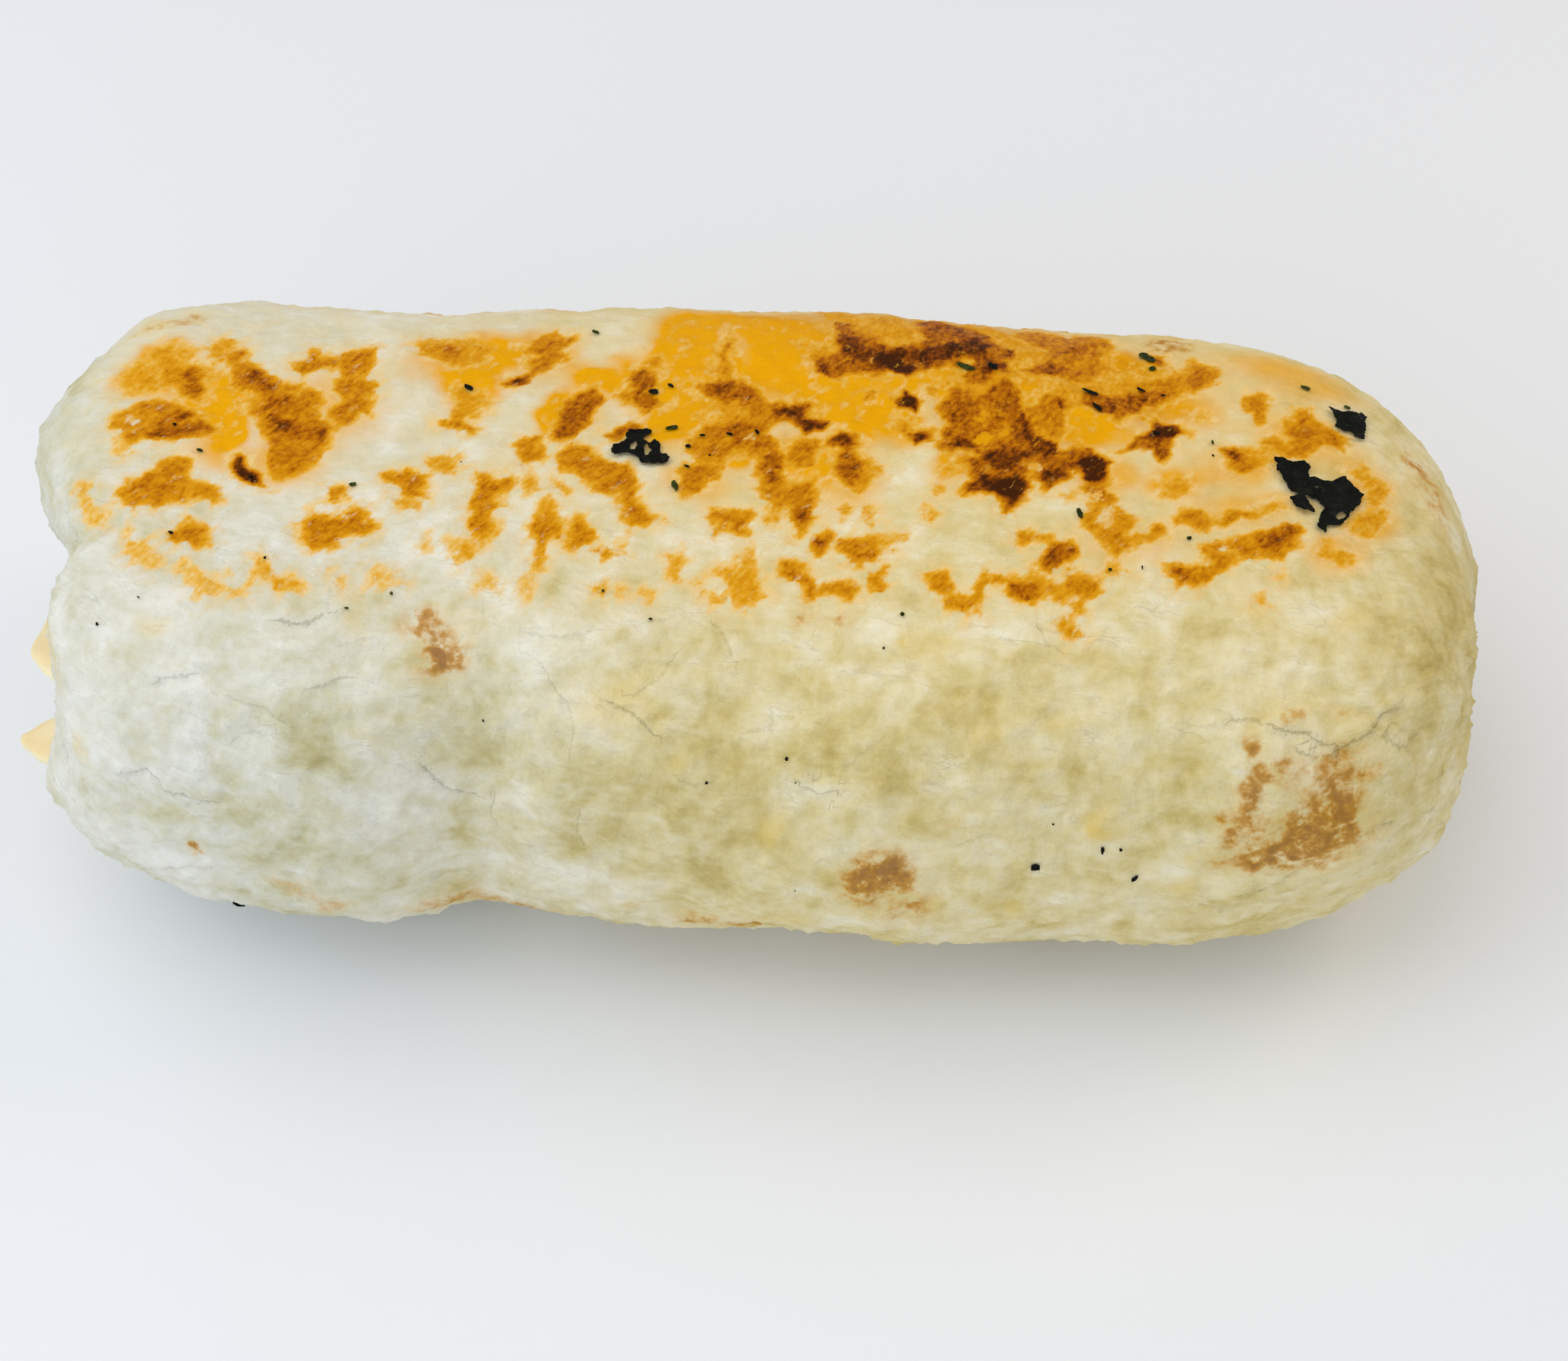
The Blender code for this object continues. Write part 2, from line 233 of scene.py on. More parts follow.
# ---- where the griddle browned it: the corners of each patch as along, degrees, along, degrees and so
# on; each list is one depth of toasting, and the deeper ones are laid over the lighter
toasting = {
    "light": (0.28, [
        [-88.4, 74.6, -86.4, 75.6, -84.8, 73.6, -85.4, 70.6, -84, 68, -83, 66, -83, 62.4, -85, 61.2, -86, 63.6, -87, 70],
        [-80.8, 61.4, -79.6, 62.8, -78.6, 60.8, -77, 61.6, -76.4, 58.6, -75, 57.4, -74.8, 54.4, -76.4, 52.6, -78.6, 54],
        [-72.8, 57.2, -71.4, 57, -69, 53, -67, 53, -65.4, 51.6, -63.4, 53.4, -62.8, 51.4, -64.6, 49.4, -67.4, 49.2,
         -69.4, 48, -71, 50, -71.8, 52.6, -73.4, 54.8],
        [-83.2, 90, -81.2, 91, -81.4, 86, -82, 82, -83, 84], [-21.4, 67.2, -20.4, 67, -20.4, 62, -21.6, 63],
        [-32, 52.6, -31.6, 57.4, -30.6, 57.4, -30.4, 52, -31.4, 51], [-36.8, 57, -34.6, 56.6, -34.8, 53, -37, 52.4],
        [-50, 57.6, -48.6, 57, -46.6, 56, -46, 54, -47.6, 53.6, -49.6, 52], [-54.8, 57, -53.6, 56.4, -52.2, 54, -52.8, 52.6],
        [8.6, 69.8, 11.6, 70.4, 12.2, 68.6, 10.4, 65, 9, 66], [-12.4, 57.4, -10.8, 58, -10.6, 56.4, -12, 55.8],
        [-43.8, 66, -42.8, 66.4, -42.6, 62, -43.8, 62], [51.8, 57, 53.6, 56.6, 54, 54, 52.4, 53.6],
        [38, 62, 39, 61, 38.4, 59.6, 37.4, 60.6], [54, 64, 55.4, 62, 56.4, 59.6, 55, 60.4],
    ]),
    "fringe": (0.37, [
        [-12.6, 117, -9, 119, -6, 118.4, -4, 114, -3, 112, -1, 112.4, 2, 112, 3.4, 109, 3, 104.6, 0, 102, -2, 105,
         -3.6, 103, -4, 99, -2.6, 96, -3, 90, -5, 84, -6, 86, -6, 92, -8.6, 92, -9.4, 89, -12, 90, -14.6, 94, -14, 99,
         -12, 103, -10.4, 107, -10.6, 111],
        [-2.6, 98, -0.6, 100.4, 2, 99.4, 1.6, 92, 0.4, 90, -1.6, 91, -2.6, 94],
        [-4.6, 86, -3, 88, -1.6, 86, 0.8, 88, 1.6, 82, 1.6, 74, 0.4, 71, -0.4, 69.6, -1.4, 73, -2.2, 78, -3.6, 77,
         -4.2, 80],
        [2.8, 101, 4.6, 102, 6.4, 101, 6.6, 96, 9, 93, 9.2, 88, 7.6, 84, 5.6, 83, 3.6, 87, 3.2, 92, 3.4, 96],
        [7, 79, 8.2, 78, 8.4, 74.6, 7.4, 75.4], [4.6, 79, 5.8, 79, 5.8, 76, 4.6, 76],
        [4, 66, 5, 69.6, 7.4, 69.6, 9, 70, 12, 71, 12.4, 69, 10, 66, 9, 62.6, 7, 61, 5, 62],
        [16, 103, 17.4, 110, 19, 114, 20, 120, 24, 123, 29, 124, 29, 96, 26, 93, 22, 92, 20, 98, 17, 97],
        [10.6, 105, 13, 106.4, 16, 104.4, 16.6, 100.6, 14, 99.6, 12, 100.6],
        [3.6, 127, 6, 130, 9, 131, 12, 134, 17, 131, 20, 128, 22, 124, 18, 122, 14, 121, 10, 120, 6, 119, 3.4, 121],
        [-8.6, 126, -7.6, 131, -6.2, 137, -5, 139, -5.4, 133, -6.4, 128, -7.6, 122, -9, 118, -9.6, 121],
        [16, 92, 17.4, 93.4, 17.6, 89, 16.4, 89], [15.2, 85, 16.6, 85, 16.4, 82.4, 15.4, 82.2],
        [28, 112, 30, 116, 33, 120, 36, 122, 40, 123, 44, 126, 48, 124, 50, 128, 54, 129, 54, 124, 52, 120, 48, 117,
         46, 116, 44, 118, 40, 113, 38, 109, 35, 112, 33, 108, 31, 103, 29, 104],
        [49.6, 96, 50, 100, 53, 100.6, 56, 102, 57, 98, 55, 94, 52, 92, 50, 92],
        [56, 100, 58, 106, 59, 111, 60.6, 116, 62, 116.6, 62.6, 112, 64, 110, 65, 106, 64, 103, 62, 104, 60, 99, 58, 97],
        [54.4, 114, 56, 118, 57.6, 120, 57.4, 114, 56, 108.6, 54.8, 108.6],
        [65, 96, 66.4, 100, 67.2, 98, 68.4, 94, 68.8, 89, 66.6, 86.6, 66, 91],
        [64, 79, 66, 82, 68, 83.6, 68.8, 82, 67.6, 77, 66, 73.6, 64.6, 75.6],
        [46, 69, 48, 71, 52, 72.6, 55, 74.6, 57, 77, 58, 77, 58, 71, 56.6, 67, 53, 66, 50, 63.6, 48, 65],
        [60.4, 69, 61, 73, 62, 72, 62.4, 68, 64.4, 67, 64, 64, 62.6, 65, 61.4, 66],
        [41.8, 86, 43, 89, 45.6, 90, 45.4, 86, 44, 83.6, 42.2, 84],
        [-84.6, 112, -83, 117, -81, 116, -80, 112, -78.6, 112, -77, 116, -74, 116.6, -73, 114, -74, 109, -76, 106,
         -78, 110, -80, 106, -83.4, 108],
        [-71.4, 120, -69, 118.4, -66, 116.4, -64, 113, -62, 113.6, -60, 112, -58.6, 108, -57.6, 100, -56, 98,
         -56.8, 93, -59, 88, -60.6, 84, -62.6, 83.6, -63.8, 88, -64.6, 97, -66, 102, -68.6, 103, -69.6, 110, -70, 114],
        [-84, 98, -82, 103, -79, 104.6, -76, 103, -73, 100, -71.6, 97, -72.6, 92.6, -76, 90.6, -79, 90.6, -82, 92],
        [-81.6, 71, -80, 77, -78, 80, -76.6, 85, -74.4, 86, -73.4, 80, -70, 78, -69.6, 74, -72, 73, -74, 71,
         -76.8, 70, -79.6, 68.6], [-74.8, 62, -73, 68, -70.4, 67, -68.6, 63, -70, 59, -73, 60],
        [-62.4, 117, -62, 122, -60, 124.6, -57, 124, -54, 126, -54, 118, -56, 112, -57, 117, -59.6, 118.6],
    ]),
    "golden": (0.44, [
        [11, 134, 14, 132, 19, 133.6, 20, 140, 18, 146, 12, 146],
        [-84.2, 112, -82.6, 115.4, -81, 114, -80.6, 110.6, -80, 106.4, -83, 105.8, -82.2, 109],
        [-81.4, 120.4, -80.4, 121.8, -78.2, 121.2, -77.6, 118, -78.2, 115, -79.8, 114, -80.8, 116.4],
        [-77.6, 120.8, -76.4, 120.6, -76.4, 118.6, -77.6, 118.6],
        [-75, 121.4, -73.8, 123.6, -73.4, 125.8, -72.2, 126, -72.6, 122, -72.4, 118, -73.6, 117, -74.4, 119.4],
        [-62.8, 58.6, -61.8, 57.6, -60.4, 54.4, -58, 53.6, -57.2, 52.2, -59.2, 51.4, -60.6, 52.4, -61.4, 55, -62.8, 55.4],
        [-47.6, 76.6, -46, 77.2, -44.8, 75.8, -46, 74.2, -47.2, 74.8], [-58.2, 123.6, -57.4, 123.6, -57, 121, -58, 121],
        [-44.6, 89.6, -43, 91.6, -41.6, 91, -41.4, 88, -42, 85.4, -43.4, 86.4],
        [-48, 128.6, -46.8, 130.2, -43.6, 129.6, -40.4, 131.6, -40.2, 128.6, -38, 128, -38.6, 125, -39.4, 122.6,
         -41.4, 121.6, -43, 120.8, -44.6, 123, -46.4, 125, -48, 127],
        [-42.4, 113.8, -39.6, 114, -38, 111, -39.2, 108, -39.2, 105, -41, 106, -42.4, 109.4],
        [-40.8, 64.8, -39.6, 65.2, -38, 64.2, -38.6, 61, -39.2, 59.6, -39.8, 63],
        [-33, 85, -32.2, 85.6, -31.6, 81.4, -32.2, 79.6], [-29.4, 84, -28.2, 83, -27.4, 80.4, -28, 79.6],
        [-23.4, 53.8, -22.2, 53.8, -22.4, 52.2], [-20.8, 54, -19.8, 53.8, -20.2, 52.4], [-17.8, 54, -17, 54, -17.2, 51.4],
        [-15, 62.4, -14.2, 63.6, -13.6, 60, -14, 56.4, -14.8, 58],
        [-9.8, 59.4, -9, 61, -8, 60, -6.8, 59.6, -6.6, 62.4, -6.4, 64.6, -5.6, 65.2, -5.4, 61.8, -4.6, 58.4, -5.4, 57,
         -4.6, 54.6, -3.4, 53, -5, 52, -5.8, 49.8, -6.8, 51.6, -7.6, 54.6, -8.4, 58.4],
        [-10.8, 54, -9.4, 53.2, -8.4, 54.4, -8.2, 52.4, -9.2, 51.4], [8.2, 91.4, 9, 92, 9.2, 88, 8.4, 86.4, 8, 89],
        [-3.8, 76, -2.8, 76.6, -2.8, 73.4, -3.8, 73], [16, 91.8, 17.2, 91, 17, 88.6, 16.2, 89],
        [14.4, 76, 15, 78.2, 15.5, 76, 14.8, 73.6], [4.6, 77.8, 5.8, 78.2, 5.6, 76.2, 4.6, 76.2],
        [15.2, 84.2, 16.4, 84.4, 16.2, 82.6, 15.3, 82.2], [7, 77.6, 7.8, 78.4, 8.6, 75.6, 8, 73.6],
        [30.6, 83, 31.4, 84.2, 31.8, 82.6, 31, 81.4], [27.4, 70.8, 29, 70.4, 29, 69, 27.6, 69],
        [35, 60.6, 35.2, 63, 36.4, 63.4, 37.2, 62, 36.8, 60.2], [53, 80.6, 54.2, 82.8, 56, 83.4, 56.6, 81.6, 54.6, 80],
        [41.8, 84.4, 42.2, 87.4, 43.4, 88.8, 45.6, 87.2, 45, 85, 43.6, 83.2, 42, 82.8],
        [60.2, 66.6, 60.8, 70.6, 61.4, 71.8, 61.6, 69.4, 62.6, 68, 63.8, 67.8, 64.4, 65.6, 63.4, 64, 62.2, 65.8],
        [64.2, 75.6, 64.2, 78.4, 65.4, 80.8, 66.6, 81.6, 68.4, 83.6, 69.2, 83, 68.4, 79, 67.2, 76, 66.4, 73.4],
        [65.2, 95.4, 66.6, 99.4, 67.2, 98, 67.2, 95.4, 68.4, 93.6, 69.2, 90.4, 68.8, 87.4, 67.4, 85, 66.6, 86.4, 66.4, 92],
        [45.8, 105, 46.6, 107, 47.6, 106, 47.2, 103.6], [48.6, 111.4, 49.6, 112.6, 49.4, 109.4, 48.4, 109],
    ]),
    "orange": (0.60, [
        [-83.9, 97, -83.2, 99.5, -80.5, 102.5, -78.9, 104, -77.6, 102, -74.2, 101, -75.4, 97.6, -72, 97.4, -71.3, 95.2,
         -73.8, 92, -76, 90.2, -79.4, 91.8, -81.4, 89, -82.4, 92, -83.9, 94],
        [-77.2, 115.4, -75.8, 116, -74.9, 113.4, -74.8, 110.6, -73.6, 109, -74.2, 106.2, -76.2, 105.2, -76.8, 108,
         -77.8, 109.8, -79.8, 112.2, -79, 114.2],
        [-72.4, 121, -70.2, 122.6, -69.8, 120, -71, 118.6, -69, 117.2, -66.8, 116, -65.2, 114, -64, 112.2, -62, 113,
         -61.9, 111, -63.6, 110.4, -61.6, 108.6, -60.2, 111.4, -59.2, 110.6, -58.6, 107.6, -59.6, 105.4, -57.4, 101.4,
         -56.6, 98.6, -56.8, 95, -57.4, 91.6, -58.2, 87.4, -60.4, 82.8, -61.8, 81.8, -63.4, 84.6, -63.8, 88.6,
         -63.6, 92, -64.4, 96, -65.6, 99.6, -67.2, 101.8, -66.8, 104.6, -65.2, 106.4, -66.4, 109.4, -68.4, 108.6,
         -70, 110.2, -71, 113, -71.2, 116.4, -71.8, 118.6],
        [-62.8, 119.4, -61.6, 121, -61.2, 124, -60.4, 123.8, -60.2, 121.4, -58.4, 122.4, -58.2, 120.4, -59.6, 118.8,
         -61.6, 116.8, -62.4, 117],
        [-57.6, 123.4, -55.4, 126, -53.6, 126.2, -52.6, 125.4, -52.8, 122.6, -53.4, 119.2, -53.6, 117, -56.6, 117.4,
         -57.2, 120.8],
        [-57, 115, -55, 116, -53.6, 115.6, -52, 114.6, -53, 111.4, -52.8, 108, -52.4, 105, -54, 105.4, -54.6, 101.6,
         -55.6, 98.6, -56.4, 100.8, -57, 105, -56, 109.4, -57, 112.4],
        [-81.6, 71, -81.2, 73.6, -80, 76.4, -78.6, 78.8, -77.4, 80.2, -77, 83.4, -75.4, 86, -73.8, 85.4, -74.4, 82,
         -73.4, 78.6, -74, 76, -74, 71.8, -75.8, 71.6, -77, 70, -78.4, 70.8, -79.6, 68.6, -80.8, 69.2],
        [-72.6, 76.2, -71.2, 77, -69.8, 77, -69.8, 72.6, -71.4, 74.2, -72.4, 74.6],
        [-74.6, 62.4, -73.4, 64.4, -72.6, 65.8, -70.6, 65.6, -70.2, 63, -70.8, 61, -72.8, 60.4, -74, 61],
        [-68.2, 89.2, -67.2, 88, -65.8, 84.6, -64.2, 82, -63.2, 79.6, -64.6, 79.4, -66.6, 81.4, -68.2, 85],
        [-58.4, 68.4, -57.8, 71.6, -56.8, 73, -55.8, 72.2, -55.9, 70.4, -54.2, 70.6, -53.8, 72.4, -51.8, 73.6,
         -50.8, 72, -51.4, 70, -49.8, 69.4, -49.8, 67.2, -51.2, 65.4, -52.8, 66.6, -53.8, 65, -54.4, 62.8,
         -56.4, 62.4, -58, 64.6],
        [-55.6, 80.2, -53.8, 80.4, -53.8, 77.6, -54.8, 74.4, -55.4, 76.8],
        [-49.2, 85.4, -48.2, 85, -46.8, 86, -45.2, 84.6, -44.4, 84, -44.2, 80.6, -44, 78.2, -46.6, 78.2, -47.6, 81.6,
         -49, 82.8],
        [-46.8, 127, -43, 127, -42, 124.6, -44.4, 123], [-43.8, 103.4, -41.6, 104.2, -40.2, 103.2, -39.4, 101.6,
                                                        -39.8, 100, -41.6, 101, -43.6, 102.2],
        [-42.2, 105.4, -41.6, 106.6, -40.8, 105.6, -41.6, 104.8],
        [-38.8, 85.4, -37.2, 85, -36, 83.6, -34.6, 84.8, -34.2, 82, -35.4, 80.2, -36.2, 78.4, -35, 76.6, -36.2, 75,
         -36, 71, -35.8, 67.8, -37, 65, -37.8, 66.2, -38.6, 69.6, -38.2, 73.2, -39, 75.6, -38.2, 78.6, -38.4, 82],
        [-34.2, 96, -33, 98.6, -31.4, 98.4, -32, 96.2, -31.6, 94, -30.6, 92.4, -31.6, 90.4, -33.4, 88.8, -33.2, 91,
         -34.2, 92.8],
        [-36, 117, -35, 118.6, -33.4, 119.6, -32.8, 122.4, -33.6, 124.4, -31, 127.6, -34.6, 128.6, -32.4, 131.2,
         -30.6, 134.6, -29.4, 135.8, -28, 133.6, -26.2, 134.2, -27, 131.6, -28.8, 129.6, -28.2, 126.4, -29.8, 124.4,
         -30.4, 121.6, -32.2, 119.8, -33, 117.6, -34.4, 115.2],
        [-29.4, 92.4, -28.2, 93.4, -27.2, 95.6, -25.4, 94.6, -24.8, 92, -23.2, 90, -22, 89.8, -20.8, 88, -20.2, 85,
         -19.8, 81.6, -19.8, 78.4, -18.8, 76.4, -18, 74, -16.8, 72, -18, 70.6, -19.8, 70.4, -20.4, 72.6, -21, 76,
         -21.8, 79.6, -24, 79.6, -25, 82.4, -26.2, 84.6, -27.4, 86.6, -29, 88.2, -29, 90.4],
        [-18.6, 123.4, -17.6, 125, -16, 126, -15.4, 123.8, -17, 122], [-22.4, 112, -21.4, 114.6, -20.6, 112, -21, 110],
        [-30.4, 75, -29.9, 78.6, -29.4, 75, -28.4, 72, -28.2, 70.6, -28, 66.4, -29.4, 66.4, -29.9, 63.6, -29.7, 59,
         -30.2, 58.6, -30.6, 63, -31, 66, -31.4, 69.4, -30.8, 72],
        [-26.2, 73.2, -25.2, 70.8, -24.4, 69, -24, 66.6, -25.4, 65.4, -26.8, 64, -27.4, 65.8, -26.8, 68.4, -26.8, 71],
        [-23.7, 63.4, -22.8, 64.4, -22.1, 63, -22.8, 61.6],
        [-14.6, 86.4, -14.4, 89.2, -12.4, 90.4, -10.4, 89.8, -9.4, 88.4, -10, 86.6, -11.4, 84.8, -12.2, 82,
         -13.4, 79.8, -14.4, 81.4],
        [-13.4, 94.4, -14, 97, -12.4, 100, -11.4, 102.6, -9.6, 104, -8.2, 106.4, -6, 105.4, -5.4, 107.2, -7, 109.4,
         -9.2, 111, -10.6, 112.4, -12, 114.6, -10.6, 116.6, -8.8, 118, -7, 117.8, -5.6, 116.8, -4.8, 114.6,
         -3.6, 113.6, -3.4, 110.4, -1.6, 111.4, 0, 112, 1.4, 111, 0.8, 109, 0.2, 106.6, 3.2, 105.4, 2.4, 102.8,
         0.6, 101.6, -1, 103.4, -2, 105.2, -4, 104, -4.2, 100.6, -3.6, 97.8, -2.8, 94, -2.6, 90, -2.2, 86,
         -3, 82.4, -4.6, 82, -5.4, 85, -5, 88.6, -4.8, 92, -5.6, 95, -7.4, 96, -8.6, 97.6, -9.4, 93.6, -9.8, 90.8,
         -11.4, 91.6, -12.6, 93],
        [-8.6, 119, -7.6, 119, -7.8, 124, -6.6, 128, -6, 132, -7, 131, -8, 127, -8.8, 123],
        [-1.8, 96, -1, 98.4, 0.4, 99.6, 2, 99.8, 1.8, 98.4, 1.2, 96.4, 1.8, 93, 0.8, 90, -0.8, 90.2, -2, 92.4],
        [3.2, 98.8, 3.6, 101.2, 5, 102, 6.4, 101.4, 6.2, 98.2, 5.4, 96.6, 6, 93.6, 7, 92, 6.8, 89, 7.6, 86.6, 6.4, 85.8,
         6.8, 82.4, 5.6, 83.8, 4.6, 86, 3.8, 88.6, 3.6, 91.6, 4.2, 94.2, 4.6, 96.4, 3.4, 97.2],
        [-2.4, 83, -1, 84.4, 1, 86.6, 1.4, 82.4, 1.4, 77.4, 1.2, 74, 0.2, 71.4, -0.3, 68.6, -0.7, 72, -1, 74.6,
         -0.6, 77.4, -1.6, 78.6, -2.4, 80.4], [-4.8, 82.6, -2.4, 82.4, -2.2, 79, -3, 76.4, -3.6, 77.8],
        [-10.8, 76.2, -10.2, 77, -8.8, 76, -6.4, 75.4, -5.6, 75, -6.2, 72, -6, 69.4, -7.6, 69.4, -8.4, 71, -9, 73,
         -8.8, 70.4, -9.8, 69.8, -10.2, 72.2, -10.9, 73],
        [-2.4, 60.6, -1.8, 61.6, 0.3, 61.6, 0.4, 60, 1.4, 58.6, 1.8, 56, 3, 57.2, 4.2, 56.8, 5.2, 57.4, 6, 56.6,
         7, 55.2, 6.2, 53, 4.8, 54, 3.6, 54.4, 2, 53.6, 0.8, 54, 0.8, 56.2, 0, 57.4, -1.4, 58.2, -2.2, 58.8],
        [4.6, 66.8, 5, 68.8, 6, 68.4, 7.6, 69.4, 8.4, 70, 8.6, 68, 9, 65.4, 8.4, 63.4, 7.4, 62.4, 6.6, 60.8, 5.8, 61.8,
         6.2, 63.4, 4.4, 64.4], [8, 58.4, 8.4, 60.2, 9.2, 60, 9.8, 61.6, 10, 57.4, 9.6, 55.2, 8.4, 56],
        [14.8, 59.2, 16, 60.4, 17, 60.4, 17.6, 58, 18.2, 56.6, 17.6, 54.8, 18.6, 53.8, 19.8, 54.4, 20.6, 54.8,
         21, 52.6, 21.3, 50.6, 20.4, 52, 19.4, 50.6, 18.6, 51.4, 17.2, 52.2, 17.4, 53.8, 16.4, 54.8, 15.6, 56.4],
        [20.8, 59.2, 21.4, 60.6, 22, 58.8, 24, 58.8, 26, 59.6, 27, 58.6, 27.6, 56, 26.6, 53.4, 25.2, 54.6, 24, 56.8,
         22, 57.6, 21.3, 57.4, 21.3, 52.4, 20.7, 52.4],
        [8.4, 113, 9.2, 115.6, 10, 115.4, 9.8, 113.4], [16.6, 115.6, 18, 118.6, 18.2, 117, 17, 115],
        [25.2, 70.4, 25.6, 71.6, 27, 71.4, 27.6, 70, 26.6, 68.8, 25.6, 68],
        [26, 57.4, 27, 58.4, 26.6, 60.6, 28.2, 59.6, 28.4, 57, 29.6, 58.4, 30.6, 57, 31.6, 60.8, 33, 61.2, 33, 59.2,
         34.8, 58.4, 35.3, 55.6, 33.4, 55, 31.6, 56, 31, 53.4, 29.8, 54, 29.4, 56, 28.2, 54.6, 27.2, 54.4, 26, 54],
        [32, 54, 32.8, 53.6, 32.4, 51.6, 31.6, 52.2], [30.6, 50.8, 31.2, 50, 31.6, 48.4, 32.8, 47.2, 32, 45.6,
                                                      31, 47.4, 30.4, 48.6],
        [33, 74.4, 33.6, 76.6, 33.6, 79, 34.6, 80, 36, 79.6, 37, 78.8, 37.6, 77, 38.4, 76, 38.6, 73.8, 37.8, 72.2,
         37.6, 70, 39.4, 69.4, 41, 70, 42.4, 71.4, 42.2, 73.6, 41.4, 75, 40.6, 74.2, 41.2, 72.4, 40.4, 71,
         38.8, 70.6, 38.2, 68, 37, 65.6, 36, 66.8, 35.2, 69, 34.2, 71.6, 33, 72.8],
        [42.8, 60.6, 43, 63.2, 44.4, 64, 46, 63, 47.4, 63.4, 47.6, 66, 48.6, 66.8, 50.2, 66.4, 49.6, 63.6, 48.6, 61.6,
         47.4, 60, 46.4, 58.6, 44.6, 58.8, 43.6, 57.8],
        [46.2, 68.6, 47.6, 69.4, 49.4, 70, 50.6, 71.4, 52.4, 72, 53.2, 73.2, 55, 73.6, 56.4, 75.4, 57.6, 76.2,
         58.2, 74.6, 57.4, 72, 57.6, 69.6, 56.6, 67.4, 55, 65.4, 53.4, 67, 52, 66, 50.6, 68, 49, 67.6, 47, 67],
        [43.8, 77, 44.6, 78.6, 46, 78.8, 47, 79.2, 47.8, 77, 47.4, 75.4, 46.2, 73, 45.2, 74.2, 44, 75.6],
        [48.2, 76, 49.2, 79, 50, 80, 51.6, 79.4, 53, 78.8, 52.6, 77.4, 51, 77, 49.8, 75.4, 48.8, 75],
        [57.8, 106.8, 58.4, 109.6, 59.8, 110.6, 60.4, 113, 61.6, 114.6, 62.6, 112, 62.4, 109.8, 64, 108.2, 65.2, 107.4,
         64.4, 105, 64.2, 102.6, 62.6, 104.4, 61.4, 103, 60.6, 100.4, 59.4, 98.2, 57.8, 98.4, 57.4, 100.4,
         58.8, 102, 58.2, 104.6], [55, 102.6, 56.4, 103.6, 57.2, 102, 56.8, 99.4, 56, 101],
        [54.6, 115, 55.4, 116.6, 57, 118.6, 57.8, 118.8, 57.4, 115.6, 56.6, 112.6, 56.2, 109, 55, 108.4, 55, 111.4],
        [50.2, 99, 51.2, 100.4, 52.2, 99.4, 53.4, 100, 53, 97.4, 54.6, 95.2, 53, 93.4, 51.2, 91.8, 50, 93.4, 50.6, 96],
        [28, 109, 28.6, 112, 30.6, 113.6, 31.6, 116, 33, 114.6, 33.4, 111.6, 32, 109.6, 31.6, 106, 32, 103, 30.8, 101,
         29.4, 103.4, 28.8, 106],
        [44.6, 121.4, 46.6, 122.4, 48.6, 124.6, 50.6, 124, 51.6, 127, 52.2, 129.6, 53, 131, 53.2, 128, 54.6, 127.6,
         54, 123.4, 52.6, 120.4, 50, 118.6, 48.4, 119.6, 47, 120.6],
        [38, 122, 41, 124, 43, 127, 42.6, 131, 44.6, 134, 46, 137.6, 46, 146, 36, 146, 34, 140, 37, 134, 34, 128,
         33, 123],
    ]),
    "brown": (0.74, [
        [-80.3, 91.6, -79, 90.4, -76.6, 92.4, -74, 94.4, -72.2, 97.2, -74.6, 97.2, -77.2, 95, -79.6, 93.8],
        [-77.2, 101.6, -74.6, 100.6, -76, 97.8, -77.4, 99.4], [-65.2, 107, -63, 107.4, -61.8, 106, -63, 104, -65, 104.4],
        [-64.4, 101.6, -62, 102, -60.6, 99, -57.4, 98.4, -58, 95.6, -61, 96.4, -63.6, 97],
        [-69.6, 115.8, -67, 115, -65, 112, -66.4, 110.6, -69.2, 112.6], [-76.4, 113, -75.4, 113, -74.8, 107.6, -76, 107],
        [-29.8, 101.6, -29.2, 104.6, -28.6, 108, -28, 111.4, -26.6, 113.8, -24.4, 114.8, -24.2, 111, -25, 107.4,
         -25.4, 103.2, -26.6, 100, -28.2, 97, -29.6, 96.8],
        [-20.2, 117, -20, 120, -19, 121.6, -17.4, 121, -17, 119, -17.2, 116, -17.6, 113.6, -17, 110.8, -18.4, 108.4,
         -19.2, 107.4, -19.8, 110, -20.6, 113.4],
        [-24, 99.6, -22, 101.6, -20.6, 104, -19.6, 103.4, -19.4, 101, -21, 100.4, -22.6, 98],
        [-10.6, 116, -8.4, 117.6, -6, 117, -4.4, 113.4, -6, 111.8, -8.4, 112.4, -10.4, 112.6],
        [-4.8, 93.6, -3.4, 94.4, -2.8, 90, -3.2, 85.6, -4.4, 85], [-9.4, 101.6, -6.4, 103.4, -4.4, 101, -5, 97, -8, 97.6],
        [4, 94.6, 5.6, 95.4, 6.2, 90, 5.4, 87.6, 4.2, 89], [1.2, 67.6, 1.6, 69.2, 2.6, 69.4, 3, 71.2, 4, 71, 3.8, 69.4,
                                                          3.4, 67.2, 2.8, 65.4, 2.3, 64, 1.4, 66],
        [-0.6, 77.8, 0.8, 78.4, 1.1, 75, 0.2, 72, -0.6, 74], [24.6, 58.4, 26.4, 58, 27.4, 56, 26.4, 54, 25, 55.6],
        [3.8, 124.6, 5.2, 127.4, 7, 127, 8.4, 129.4, 8, 133, 8.4, 136, 9, 146, 12, 146, 11.4, 135, 13, 133.6,
         14.8, 131.6, 17, 131.4, 19.2, 133, 20.4, 136, 21, 146, 29, 146, 31, 134, 28.8, 129, 29.4, 126.6, 27, 124,
